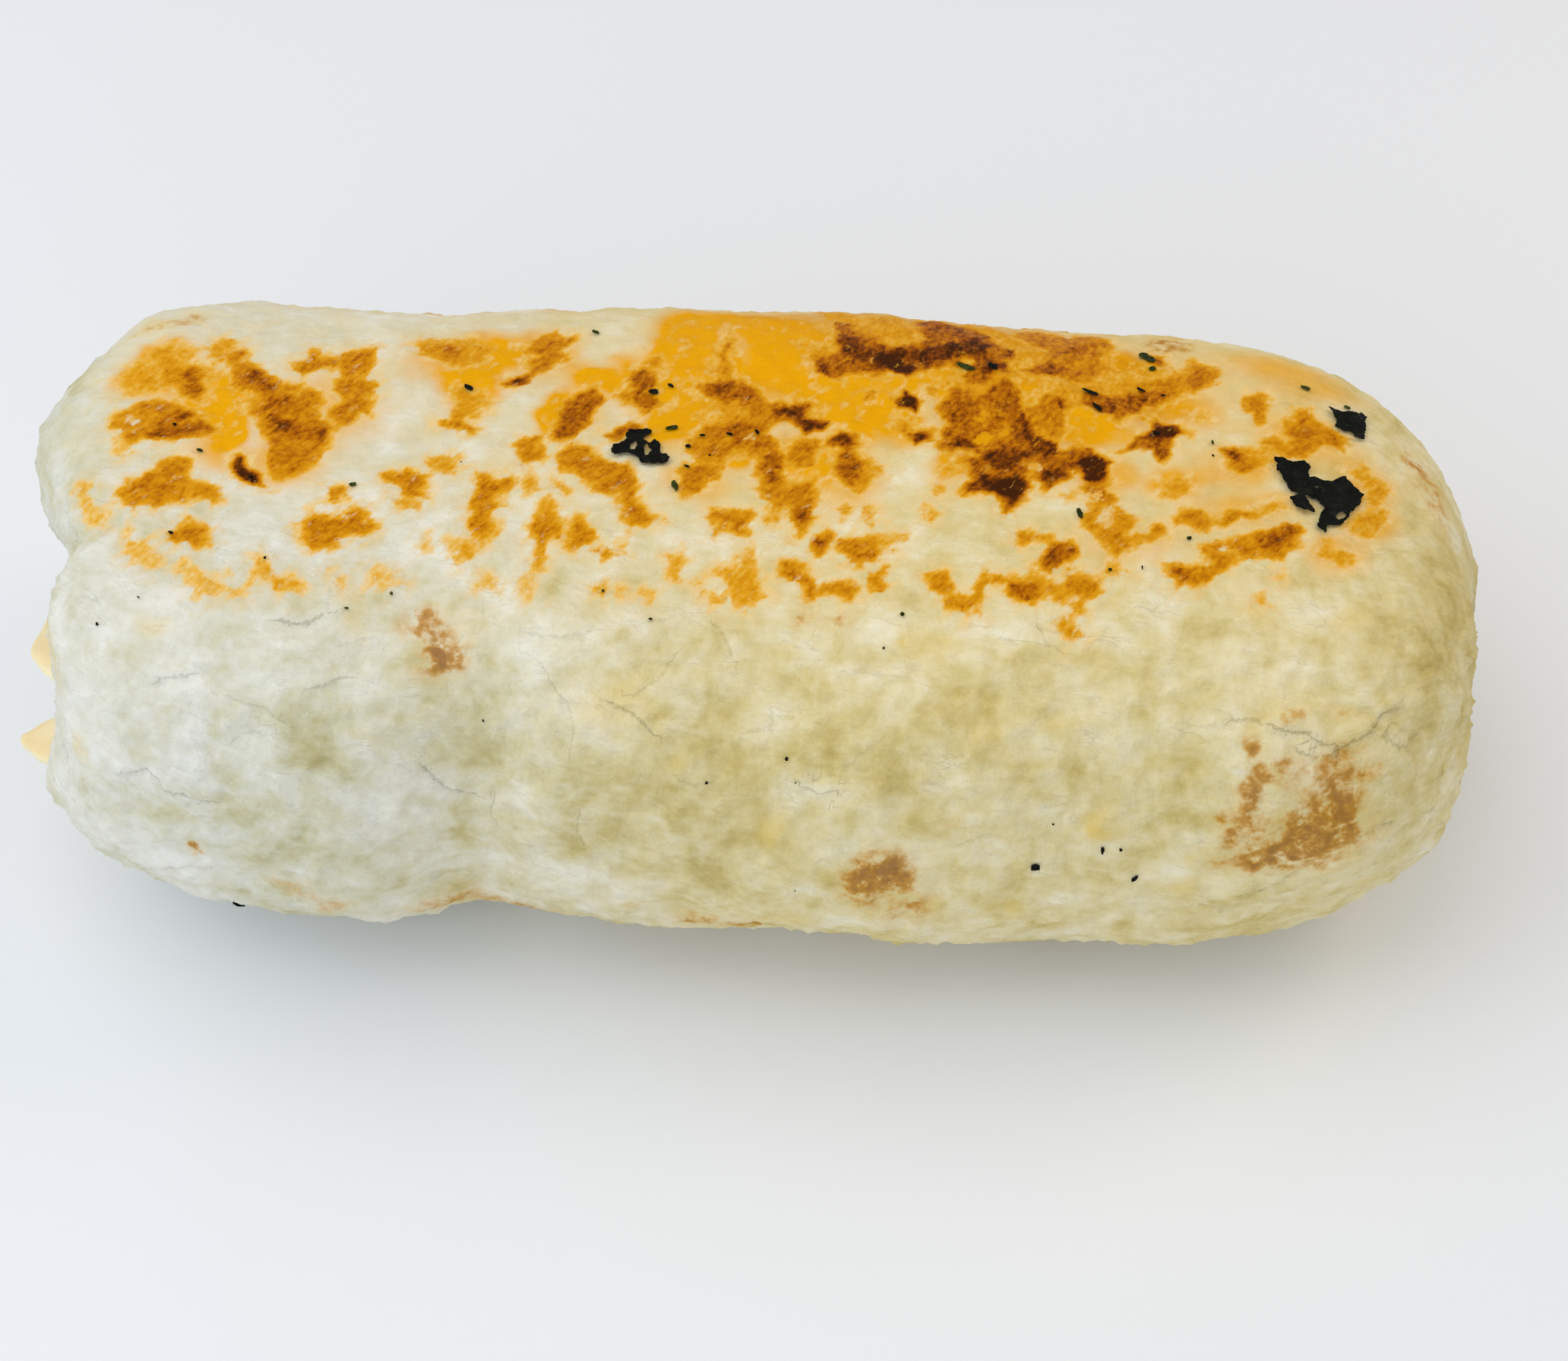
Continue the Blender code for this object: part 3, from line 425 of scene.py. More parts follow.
         25.6, 121, 23, 119, 22.2, 121.4, 23.6, 123.8, 25.4, 126.6, 24.4, 128, 22.4, 126.4, 20, 124.2, 17.6, 123.2,
         15, 120.4, 13.4, 122.6, 11.4, 122.4, 9, 121.4, 7.4, 120.6, 5, 119.6, 3.8, 121.8],
        [15.8, 97.6, 16.2, 99.6, 17.4, 101.4, 17, 103.8, 18.2, 106, 17.4, 108.6, 17.6, 112, 19, 113.6, 19.6, 116,
         20.8, 118.6, 22.4, 116.4, 21.8, 113, 23.4, 115.6, 25, 118, 26.4, 119.6, 28.6, 121.6, 28.4, 117, 27.6, 112,
         27.8, 108, 28.4, 104.4, 28.8, 101.6, 29.8, 99, 30.6, 97, 32.4, 98.6, 34.6, 97, 35.6, 95.4, 35.8, 92.4,
         35.2, 90, 35.8, 87, 35, 85.6, 33.6, 87, 32.8, 90, 31.4, 91.6, 31.2, 88.6, 30, 86.8, 28.8, 84.4, 28, 86.8,
         26.6, 88, 26.6, 90.8, 25.6, 90.4, 26.2, 84.6, 25.4, 81, 24.6, 78, 23.6, 76.2, 23, 79.2, 22.4, 82, 21.4, 84,
         20.6, 83.2, 18.8, 82.6, 18.8, 85, 20, 87, 19.2, 89.4, 20, 92, 18.8, 94, 19.6, 95.8, 21, 96.6, 19.2, 97.6],
        [11.8, 103.4, 12.6, 104, 14, 102.8, 15.4, 102.6, 15, 100.8, 13.6, 99.6, 13, 101.6],
        [27.9, 63, 28.2, 66.2, 29.2, 68.8, 31, 69.2, 32.2, 67.6, 32, 65, 31, 62.6, 29.6, 60.8, 28.4, 62],
        [33, 85, 33.8, 84.4, 34.2, 82, 35.6, 80.4, 36.4, 82, 36, 84, 35.2, 86.6, 33, 86.4],
        [53.4, 70, 54.2, 72.6, 56.8, 75.6, 57.6, 74.6, 56.4, 71, 55, 69], [43.4, 60.8, 44, 63, 45, 61.8, 44.4, 59.6],
        [37.4, 96.8, 38.4, 98.6, 40, 102, 41.6, 103.4, 42.6, 105.6, 42.4, 108, 43.4, 109, 44.8, 107, 46, 105,
         44.8, 103, 43.2, 101.6, 44.2, 100.4, 43.2, 98.4, 43.2, 95.4, 42, 94.6, 41.4, 97.6, 39.8, 98.6],
        [35, 112.6, 35.8, 115.4, 37.4, 118, 38.6, 118.4, 40, 116.6, 42, 117.6, 44.6, 119.4, 46.4, 119, 48, 118.4,
         46.8, 116.6, 45, 114.6, 43.6, 114, 42, 110.4, 40.4, 110.8, 38.8, 108.2, 37.6, 110.4],
        [30, 124, 32.4, 127, 35, 128.4, 37, 127, 34, 124], [38.4, 133, 40, 136, 43.4, 137, 42, 134],
        [48, 128.4, 48.6, 132.6, 50, 132.4, 49.4, 128.6],
    ]),
    "dark": (0.88, [
        [-1.2, 110.4, 0.8, 110, 0.2, 107, -1, 106.8, -3, 108, -2.6, 109.4], [-0.8, 105.8, 0.8, 106.2, 3.2, 105.6,
                                                                            2.2, 103, 0.4, 101.8],
        [3.4, 98.6, 4, 101, 6.2, 101.4, 6, 98.4, 4.8, 97], [4.2, 123.6, 5.2, 124, 5, 120.6, 4.4, 121],
        [8.4, 133, 9.4, 134.2, 10.2, 131, 12, 129, 14, 130, 17, 129.4, 20, 130, 24, 134, 28, 136, 29, 133, 26, 129,
         22, 128, 18, 126, 14, 127.4, 10, 127, 8.6, 129.6],
        [26, 106.4, 27, 109.4, 28, 107, 28.2, 103.6, 29.6, 100.4, 30.2, 97, 28.6, 96.4, 27.4, 99, 27, 103, 25.8, 104.4],
        [17.6, 98.6, 18.4, 101, 20.2, 101.6, 20.4, 98.4, 19, 97.6], [13.8, 102.2, 15.2, 102.2, 14.6, 100.8],
        [21.8, 95, 23, 98.6, 25, 97.6, 26.8, 95.4, 26, 92, 24.4, 91, 22.4, 92.6], [19, 85.4, 20, 85.6, 20.2, 83.8],
        [28, 90, 30, 91, 30.4, 88, 28.8, 86], [32, 113.6, 32.8, 114.6, 33, 112, 32.2, 111.6],
        [-35.8, 117.4, -34.6, 118.6, -33, 119.4, -33.2, 117, -34.6, 115.6], [50.7, 98, 51.6, 100, 52.4, 98.2, 51.4, 97],
        [25.8, 123, 27.6, 127, 29, 126.4, 28, 123.4], [29, 129, 31, 133, 32.6, 133, 31, 128.6],
        [-64, 101, -62.6, 101.6, -62, 99.4, -63.4, 98.6],
    ]),
    "scorched": (1.0, [
        [-68.1, 87.6, -67.6, 87.8, -66.4, 84, -65, 83.2, -64.6, 81.6, -65.2, 80.2, -66.6, 81.8, -67.8, 85],
        [12, 124.6, 12.6, 126.4, 13.8, 127, 15.4, 126, 16.4, 124, 15.4, 121.6, 14, 122.4],
        [11.8, 111.8, 12.6, 114, 14, 115.6, 15, 114.6, 15.3, 112.4, 14.4, 109.8, 12.6, 110.6],
        [21, 86.8, 21.4, 88.4, 23, 88.8, 25, 89.2, 26, 87.4, 26.1, 84.6, 25, 82, 24, 81.4, 22.4, 83.6, 21.6, 85],
        [32.4, 93.6, 33.6, 95, 35, 96, 35.3, 93, 35, 90.4, 34.6, 88.6, 33.2, 88.6, 33.2, 91.4],
        [42.4, 104.4, 43, 105.6, 45.2, 106, 45.6, 104.6, 44, 103, 42, 102.6],
    ]),
}
# pale places inside the toasting, where the skin stood clear of the griddle
toastHoles = [(35.4, 76, 1.5, 4.4, 0), (34.6, 83.4, 1.2, 2.4, 0), (21.6, 101.4, 1.2, 3, 30), (-81.6, 96.6, 1.8, 2.4, 20),
              (26.9, 91.8, 1.0, 2.0, 0), (30.0, 59.2, 1.0, 2.2, 0), (22.6, 109, 1.0, 3.4, 25), (24.6, 104, 1.0, 3.0, 30),
              (-6.2, 99.6, 0.8, 1.2, 0), (49.4, 68.4, 1.0, 1.4, 0)]

stainEdge = {"oil": 3, "amber": 3, "gold": 2.5, "rust": 2.2}     # how abruptly a stain of each kind ends; others 2
# soft stains, each with its colour in the material: (along, degrees, length, girth in degrees, lean, strength)
stains = {
    "oil": [    # saturated yellow fat
        (-79.5, 118, 5, 9, 0, 0.9), (-81.5, 110, 5, 10, 0, 0.7), (-72, 105, 7, 16, 10, 1.0), (-70, 97, 5, 14, 0, 0.85),
        (-76, 111, 10, 12, 0, 0.5), (-70, 88, 8, 12, 0, 0.35), (-59, 104, 14, 22, 0, 0.35), (-62, 88, 8, 14, 0, 0.4),
        (-38.5, 128, 9, 13, 0, 0.8), (-40, 115, 7, 16, 10, 0.75), (-44, 120, 10, 9, 0, 0.3), (-30, 106, 4, 18, 20, 0.8),
        (-31, 127, 9, 18, 20, 0.45), (-25, 118, 7, 7, 30, 0.6), (-13, 112, 10, 26, 15, 1.0), (-12, 131, 9, 22, 10, 1.0),
        (-16.5, 102, 5, 12, 10, 0.6), (-20, 117, 6, 14, 10, 0.6), (-8, 94, 4, 9, 0, 0.75), (-3, 121, 12, 18, 0, 0.55),
        (2, 134, 12, 16, 0, 0.85), (-5, 142, 14, 14, 0, 0.7), (5, 113, 10, 14, 0, 0.85), (8, 104, 8, 16, 0, 0.55),
        (11, 118, 9, 10, 0, 0.9), (12, 106, 6, 10, 0, 0.8), (17, 92, 4, 12, 0, 0.6), (0, 93, 7, 16, 0, 0.6),
        (4, 86, 9, 18, 0, 0.35), (-12.5, 84, 7, 10, 0, 0.35), (22, 118, 12, 14, 20, 0.8), (24, 106, 10, 18, 20, 0.8),
        (32, 112, 10, 20, 25, 0.85), (35, 104, 12, 10, 0, 0.5), (30, 128, 24, 26, 30, 0.9), (44, 126, 14, 14, 30, 0.7),
        (36, 88, 6, 14, 0, 0.35), (44, 87, 8, 10, 0, 0.5), (51, 93, 9, 14, 0, 0.35), (55, 82, 9, 7, 0, 0.3),
        (50, 78, 10, 9, 0, 0.3), (62, 68, 7, 10, 0, 0.3), (67, 90, 7, 20, 0, 0.35), (67, 78, 7, 12, 10, 0.35),
        (60, 104, 12, 18, 20, 0.35), (47, 113, 8, 12, 0, 0.4), (62, 128, 14, 18, 0, 0.3), (38, 70, 12, 14, 0, 0.2),
    ],
    "amber": [  # fat browned right through, towards the back of the griddled face
        (27, 134, 36, 24, 20, 0.8), (8, 127, 9, 12, 0, 0.6), (24, 112, 13, 24, 20, 0.5), (44, 128, 14, 18, 30, 0.45),
        (22, 95, 10, 20, 0, 0.5), (31, 96, 9, 16, 0, 0.45), (41, 114, 14, 12, 30, 0.5), (-7, 108, 14, 20, 20, 0.3),
        (-27, 106, 6, 16, 20, 0.3), (-19, 114, 5, 14, 10, 0.3), (20, 146, 50, 16, 0, 0.6),
    ],
    "olive": [  # damp filling that shows through the wrap
        (-9, 27, 11, 18, 0, 0.75), (-20, 14, 14, 20, 0, 0.9), (-23.5, 9, 9, 11, 0, 0.7), (-5, 15, 10, 14, 0, 0.6),
        (-34, 20, 9, 16, 0, 0.4), (-64, 10, 10, 11, 0, 0.75), (-61, -3, 14, 16, 0, 0.75), (-55, 22, 11, 14, 0, 0.55),
        (-82, 35, 8, 8, 0, 0.3), (-76, 9, 8, 9, 0, 0.35), (3.5, 28, 13, 11, 0, 0.5), (12, 23, 12, 14, 0, 0.4),
        (22.5, 22, 9, 8, 0, 0.3), (-14, 1, 22, 18, 0, 0.65), (0, 4, 14, 14, 0, 0.4), (38, 18, 22, 14, 0, 0.22),
        (39, 91, 9, 12, 0, 0.4), (75, 60, 30, 44, 0, 0.4), (82, 30, 16, 40, 0, 0.45), (-40, 29, 16, 10, 0, 0.25),
        (-49, -8, 18, 18, 0, 0.5), (26, 74, 14, 10, 0, 0.25), (60, 130, 26, 30, 0, 0.35), (24, 40, 26, 8, 0, 0.25),
        (72, 14, 8, 40, 0, 0.25), (45, 33, 20, 10, 0, 0.2), (-78, 85, 5, 5, 0, 0.5), (-88, 110, 14, 40, 0, 0.35),
    ],
    "bloom": [  # dry flour, whiter than the rest
        (-84, 20, 24, 50, 0, 0.8), (-72, 28, 22, 20, 0, 0.7), (-42, 12, 14, 12, 0, 0.7), (-35, 42, 22, 16, 0, 0.6),
        (-26, -8, 18, 12, 0, 0.6), (-48, 90, 30, 14, -40, 0.6), (12, 92, 7, 14, 0, 0.9), (28, 80, 9, 8, 0, 0.8),
        (3.5, 18, 7, 5, 0, 0.7), (-70, 45, 26, 9, 0, 0.5), (4, -12, 12, 10, 0, 0.5), (16, 48, 16, 8, 0, 0.4),
        (-12, 66, 16, 9, 0, 0.7), (14, 66, 18, 12, 0, 0.5), (44, 52, 30, 9, 0, 0.35), (70, -8, 16, 18, 0, 0.5),
        (-75, -10, 20, 16, 0, 0.6), (-58, 36, 18, 8, 0, 0.4), (56, 26, 10, 8, 0, 0.5), (-66, 66, 12, 10, 0, 0.3),
        (58, 17, 5, 7, 0, 0.6), (20, 8, 16, 10, 0, 0.3), (-38, 62, 30, 18, 0, 0.5), (-4, 72, 22, 14, 0, 0.5),
        (-26, 82, 14, 12, 0, 0.4), (-56, 74, 18, 14, 0, 0.4),
    ],
    "gold": [   # small soft yellow spots on the pale front
        (36.5, 12.5, 4.5, 7, 10, 0.9), (27.3, -10, 2.6, 5, 0, 0.6), (24.2, -8.2, 2.2, 4, 0, 0.4), (17.7, -6.5, 2.6, 3, 0, 0.6),
        (48, -1, 7, 4, 0, 0.5), (-2, 12, 4, 7, 0, 0.7), (-75.3, 43.5, 4, 4, 0, 0.5), (-83.7, 13.5, 3, 7, 0, 0.5),
        (-21, 32, 9, 9, 0, 0.5), (-13.3, 22.7, 2.2, 2.6, 0, 0.6), (-1, -13, 7, 5, 0, 0.4), (16, 45, 6, 6, 0, 0.5),
        (33.5, 41, 4, 5, 0, 0.4), (64, 50, 4, 5, 0, 0.5), (52.7, 54, 5, 7, 0, 0.4), (68, -10, 3, 4, 0, 0.5),
        (-52, 49, 2.4, 12, -25, 0.5), (12.5, 46, 1.6, 2.6, 0, 0.8), (-50, 26, 2.4, 4, 0, 0.3), (63, 131, 10, 8, 0, 0.5),
        (-89.5, 29, 4, 16, 0, 0.5), (47.3, 6, 2, 2.4, 0, 0.8), (56, 33, 8, 6, 0, 0.4), (-84, 131, 6, 8, 0, 0.5),
        (-39, 46, 5, 6, 0, 0.3), (24, 29, 8, 8, 0, 0.3), (33, 31, 8, 6, 0, 0.25),
    ],
    "rust": [   # hot-plate spots with a grain of fine dots
        (-41.3, 38.5, 6, 9, -25, 1.25), (-44, 45, 6, 7, -20, 0.55), (11, 0.8, 8.4, 11.5, -10, 1.15), (14.7, -8, 8, 6, -10, 0.52),
        (59, 7.5, 13, 11, 0, 0.78), (61.7, 18, 6, 18, 10, 0.62), (58.3, 12.5, 4, 9, 0, 0.7), (61, 10, 7, 9, 0, 0.75),
        (56, 5, 9, 5, 0, 0.55), (63.5, 13, 5, 10, 0, 0.6), (53, 16, 4, 14, -10, 0.5), (59, 24, 9, 6, 0, 0.4),
        (51, 11, 2, 7, 0, 0.6), (53.6, 20, 2.2, 8, -20, 0.65), (52.6, 28, 2, 4.4, 0, 0.8), (55.2, 23, 3.4, 4, 0, 0.45),
        (57.2, 32, 2.6, 4, 0, 0.6), (62.5, 32.5, 3, 2.4, 20, 0.5), (65.6, 20.7, 1.6, 2.6, 0, 0.75), (54.6, 3.6, 2, 3.4, 0, 0.8),
        (-71.5, -1.3, 1.8, 3.6, 15, 0.8), (19.5, 13.2, 3, 4, 0, 0.35), (-42, -19, 11, 10, 0, 0.5), (-34, -25, 12, 6, 0, 0.5),
        (-18.5, -13.5, 6, 3, 0, 0.35), (-9.5, -18, 11, 6, 0, 0.5), (-4, -20, 4, 9, 0, 0.55), (2, 49.5, 3, 4, 0, 0.4),
        (5.6, 49.7, 3.4, 4.4, -20, 0.45), (-60, -8, 5, 7, 0, 0.35), (-56, -14, 7, 8, 0, 0.35), (77, 96, 8, 26, -12, 0.5),
        (74.5, 108, 3, 8, 0, 0.5), (-80, 131, 10, 5, 0, 0.45), (52, 137, 5, 14, 30, 0.6), (0, -34, 30, 7, 0, 0.45),
    ],
}

# thin cracks and lifted edges of the skin: the points of each as (along, degrees), and its strength
cracks = [
    ([(-20.2, 31.2), (-18.6, 30.6), (-17.2, 28.6), (-16.0, 27.4)], 0.9),
    ([(-43.0, 17.6), (-42.0, 14.6), (-40.8, 12.2), (-39.0, 10.8), (-37.4, 10.6)], 0.8),
    ([(-78.3, 13.6), (-76.4, 15.4), (-74.9, 15.0), (-74.0, 13.0), (-71.6, 12.0), (-69.0, 11.6)], 0.8),
    ([(-73.6, 32.1), (-70.6, 33.6)], 0.6), ([(-59.4, 45.0), (-56.8, 44.6), (-54.4, 46.4)], 0.9),
    ([(-55.0, 33.6), (-51.8, 35.4)], 0.6), ([(-24.9, 10.5), (-25.2, 6.0), (-24.8, 2.0)], 0.5),
    ([(1.8, 19.6), (3.4, 18.4), (5.6, 18.8)], 0.7), ([(3.6, 20.6), (3.4, 18.4), (4.4, 16.6)], 0.5),
    ([(-35.5, 9.8), (-36.0, 7.0), (-35.6, 5.2)], 0.5), ([(45.6, 30.6), (47.6, 30.4), (50.2, 31.8)], 0.4),
    ([(55.0, 30.4), (56.6, 29.8), (58.6, 29.4), (60.4, 27.4), (62.6, 27.0), (64.8, 27.6), (66.6, 31.0), (68.2, 32.4)], 1.0),
    ([(56.4, 28.4), (58.0, 26.2), (60.4, 25.2), (62.8, 25.0), (64.4, 26.4)], 0.9),
    ([(66.2, 29.0), (67.0, 26.4), (68.4, 24.6), (69.8, 23.6), (71.6, 24.4)], 0.8),
    ([(50.6, 31.4), (52.0, 32.2), (54.4, 31.2)], 0.7), ([(54.6, -3.6), (56.8, -2.2), (58.8, 0.2)], 0.9),
    ([(49.4, -7.8), (51.6, -9.0), (53.4, -8.2)], 0.7), ([(65.6, 8.6), (67.6, 8.9), (69.4, 8.0)], 0.6),
    ([(-80.0, -17.0), (-77.0, -12.6), (-74.0, -9.4), (-71.4, -7.6)], 0.7), ([(-64.8, 30.6), (-61.6, 29.6), (-58.6, 27.6)], 0.5),
    ([(-65.0, 23.6), (-62.6, 25.4), (-60.4, 24.6)], 0.4), ([(-28.6, 37.0), (-26.6, 32.0), (-25.2, 28.0), (-25.6, 23.6)], 0.5),
    ([(-30.4, 43.6), (-26.0, 43.2), (-22.6, 45.0)], 0.4), ([(-13.6, 40.6), (-15.4, 36.6), (-18.4, 33.2)], 0.5),
    ([(-12.4, 19.6), (-11.0, 18.6), (-9.4, 19.6)], 0.5), ([(6.0, 22.6), (8.6, 25.4)], 0.4), ([(21.2, 9.6), (22.8, 10.2)], 0.4),
    ([(-9.2, 46.6), (-7.6, 43.6), (-6.8, 40.0)], 0.5), ([(28.2, 47.6), (28.8, 44.6), (30.6, 43.6)], 0.5),
    ([(-36.4, 48.6), (-36.0, 44.6), (-38.4, 42.6)], 0.3), ([(39.8, 52.4), (43.4, 52.0)], 0.4),
]


# signed depth inside one leaning oval, in mm: 1 less the scaled radius, times the smaller half size
def insideOval(along, degrees, spot):
    across, around = along - spot[0], (degrees - spot[1]) * roll["girthPerDegree"]
    lean = math.radians(spot[4])
    a = across * math.cos(lean) - around * math.sin(lean)
    b = across * math.sin(lean) + around * math.cos(lean)
    halfA, halfB = spot[2] / 2, spot[3] / 2 * roll["girthPerDegree"]
    return (1 - np.hypot(a / halfA, b / halfB)) * min(halfA, halfB), np.hypot(a / halfA, b / halfB)


# signed depth inside a closed outline, in mm: distance to its nearest side, positive inside
def insideOutline(u, v, corners):
    here = np.stack([u, v], -1)
    corners = np.array(corners) * (1, roll["girthPerDegree"])
    best, odd = np.full(u.shape, 1e3), np.zeros(u.shape, bool)
    for start, end in zip(corners, np.roll(corners, -1, 0)):
        run = end - start
        t = np.clip(((here - start) @ run) / (run @ run), 0, 1)
        best = np.minimum(best, np.linalg.norm(here - start - t[..., None] * run, axis=-1))
        spans = (start[1] > v) != (end[1] > v)
        height = np.where(spans, (v - start[1]) / (run[1] if abs(run[1]) > 1e-9 else 1e-9), 0)
        odd ^= spans & (u < start[0] + height * run[0])
    return np.where(odd, best, -best)


# signed distance from a broken line, positive on its left, and how far along its reach each point is
def besideLine(along, degrees, points, reach=2.2):
    here = np.stack([along, degrees * roll["girthPerDegree"]], -1)
    corners = np.array(points) * (1, roll["girthPerDegree"])
    best, side = np.full(along.shape, 1e3), np.zeros(along.shape)
    for start, end in zip(corners, corners[1:]):
        run = end - start
        t = np.clip(((here - start) @ run) / (run @ run), 0, 1)
        gap = here - start - t[..., None] * run
        far = np.linalg.norm(gap, axis=-1)
        across = (run[0] * gap[..., 1] - run[1] * gap[..., 0]) / np.linalg.norm(run)
        side = np.where(far < best, np.where(across < 0, -far, far), side)
        best = np.minimum(best, far)
    return side, rise(best, reach, reach / 3)


# everything the skin's material needs at each point, from the lists above, with torn outlines made by
# moving the points of reading about with noise
def skinFields(q, along, degrees):
    tear = np.stack([softNoise(q, 2.4, 11) + 0.6 * softNoise(q, 1.1, 12),
                     softNoise(q, 2.4, 13) + 0.6 * softNoise(q, 1.1, 14)], -1)
    a = along + 0.70 * tear[..., 0]
    d = degrees + 0.70 * tear[..., 1] / roll["girthPerDegree"]
    edge, depth = np.full(along.shape, -3.0), np.full(along.shape, 0.22)
    for level, patches in toasting.values():
        for patch in patches:
            corners = np.reshape(patch, (-1, 2))
            low, high = corners.min(0) - (3, 5), corners.max(0) + (3, 5)
            near = (a > low[0]) & (a < high[0]) & (d > low[1]) & (d < high[1])
            inside = insideOutline(a[near], d[near] * roll["girthPerDegree"], corners)
            edge[near] = np.maximum(edge[near], inside + (0.85 if level > 0.4 else 0.35))
            over = rise(inside, -1.0, 0.5)
            depth[near] += over * (level - depth[near])
    # bits torn off round the patches, and a ragged end to them at the back, where the roll left the plate
    edge += 1.3 * rise(edge, -2.6, -0.6) * rise(edge, 1.2, 0.2) * softNoise(q, 1.5, 27)
    edge -= 4 * rise(degrees + 7 * softNoise(q, 4.0, 26), 139, 152) * rise(degrees, 240, 200)
    for spot in toastHoles:
        edge = np.minimum(edge, -insideOval(a, d, spot)[0])
    # the face that lay on the griddle first, underneath, and the back: noise in place of a list
    broad = softNoise(q, 9.0, 21) + 0.5 * softNoise(q, 4.0, 22)
    under = rise(degrees, -58, -72) + rise(degrees, 238, 252)
    far = rise(degrees, 143, 152) * rise(degrees, 196, 165)
    wild = np.where(under > far, broad * 3.0 + 0.1, broad * 3.0 - 1.3) - 4 * (1 - np.maximum(under, far))
    wild -= 5 * rise(np.abs(q[..., 0]), 62, 80)
    over = rise(wild, -1.0, 0.5)
    depth += over * (np.clip(0.50 + 0.5 * softNoise(q, 6.0, 23), 0.2, 0.9) - depth)
    edge = np.maximum(edge, np.clip(wild, -3, 2))
    fields = {}
    soft = [place + much * (softNoise(q, 7.0, seed) + 0.5 * softNoise(q, 2.6, seed + 2))
            for place, much, seed in ((along, 1.6, 31), (degrees, 2.6, 32))]
    for name, spots in stains.items():
        clear = np.ones(along.shape)
        for spot in spots:
            _, r = insideOval(*soft, spot)
            clear *= 1 - min(spot[5], 1) * np.exp(-(r / 1.05) ** stainEdge.get(name, 2))
        fields[name] = np.clip(1 - clear, 0, 1)
    backEdge = rise(degrees + 6 * softNoise(q, 5.0, 28), 158, 138)
    fields["oil"], fields["amber"] = fields["oil"] * backEdge, fields["amber"] * backEdge
    # between the patches the fat is browned in small slanting flecks
    slanted = np.stack([a - 0.6 * d * roll["girthPerDegree"], 0.6 * (a + d * roll["girthPerDegree"]), 0 * a], -1)
    fleck = softNoise(slanted, 2.6, 24) + 0.5 * softNoise(slanted, 1.2, 25)
    fat = np.clip(fields["oil"] * 0.7 + fields["amber"] * 0.9, 0, 1.3)
    depth += rise(fat, 0.2, 0.6) * (np.maximum(depth, 0.42) - depth)
    small = fleck * 1.5 - 1.15 + 1.05 * fat - 4 * rise(fat, 0.5, 0.15)
    over = rise(small, -0.8, 0.4) * rise(edge, 0.6, -0.2)
    depth += over * (0.40 + 0.22 * fields["amber"] - depth)
    edge = np.maximum(edge, np.clip(small, -3, 0.8))
    fields["toastEdge"], fields["toastDepth"] = np.clip(edge, -3, 3), depth
    fields["amber"] = np.maximum(fields["amber"], 0.55 * far * rise(broad, -0.2, 0.6))
    fields["olive"] = np.maximum(fields["olive"], 0.5 * rise(softNoise(q, 14.0, 33), 0.0, 0.7) * rise(degrees, 150, 170))
    # 0 at the left end to 1 at the right: mixes the cooler, whiter left colours into the yellower right ones, partly
    #                                      the dough's own tone and partly painted cool light from the left and warm
    #                                      light from the right
    fields["side"] = rise(along + 5 * softNoise(q, 12.0, 34), -66, 6)
    fields["warm"] = rise(degrees + 7 * softNoise(q, 7.0, 35), 60, 92) * rise(degrees, 200, 150) * (1 - 0.5 * fields["bloom"])
    fields["warm"] *= rise(q[..., 0] + 4 * softNoise(q, 5.0, 36), -88, -78) * rise(q[..., 0] + 0.12 * degrees, 84, 70)
    side, reach, strength = np.full(along.shape, 3.0), np.zeros(along.shape), np.zeros(along.shape)
    for points, much in cracks:
        gap, near = besideLine(a * 0.5 + along * 0.5, d * 0.5 + degrees * 0.5, points)
        closer = near * much > reach * strength
        side, reach = np.where(closer, gap, side), np.where(closer, near, reach)
        strength = np.where(closer, much, strength)
    fields["crackSide"], fields["crackReach"] = side, reach * strength
    return fields


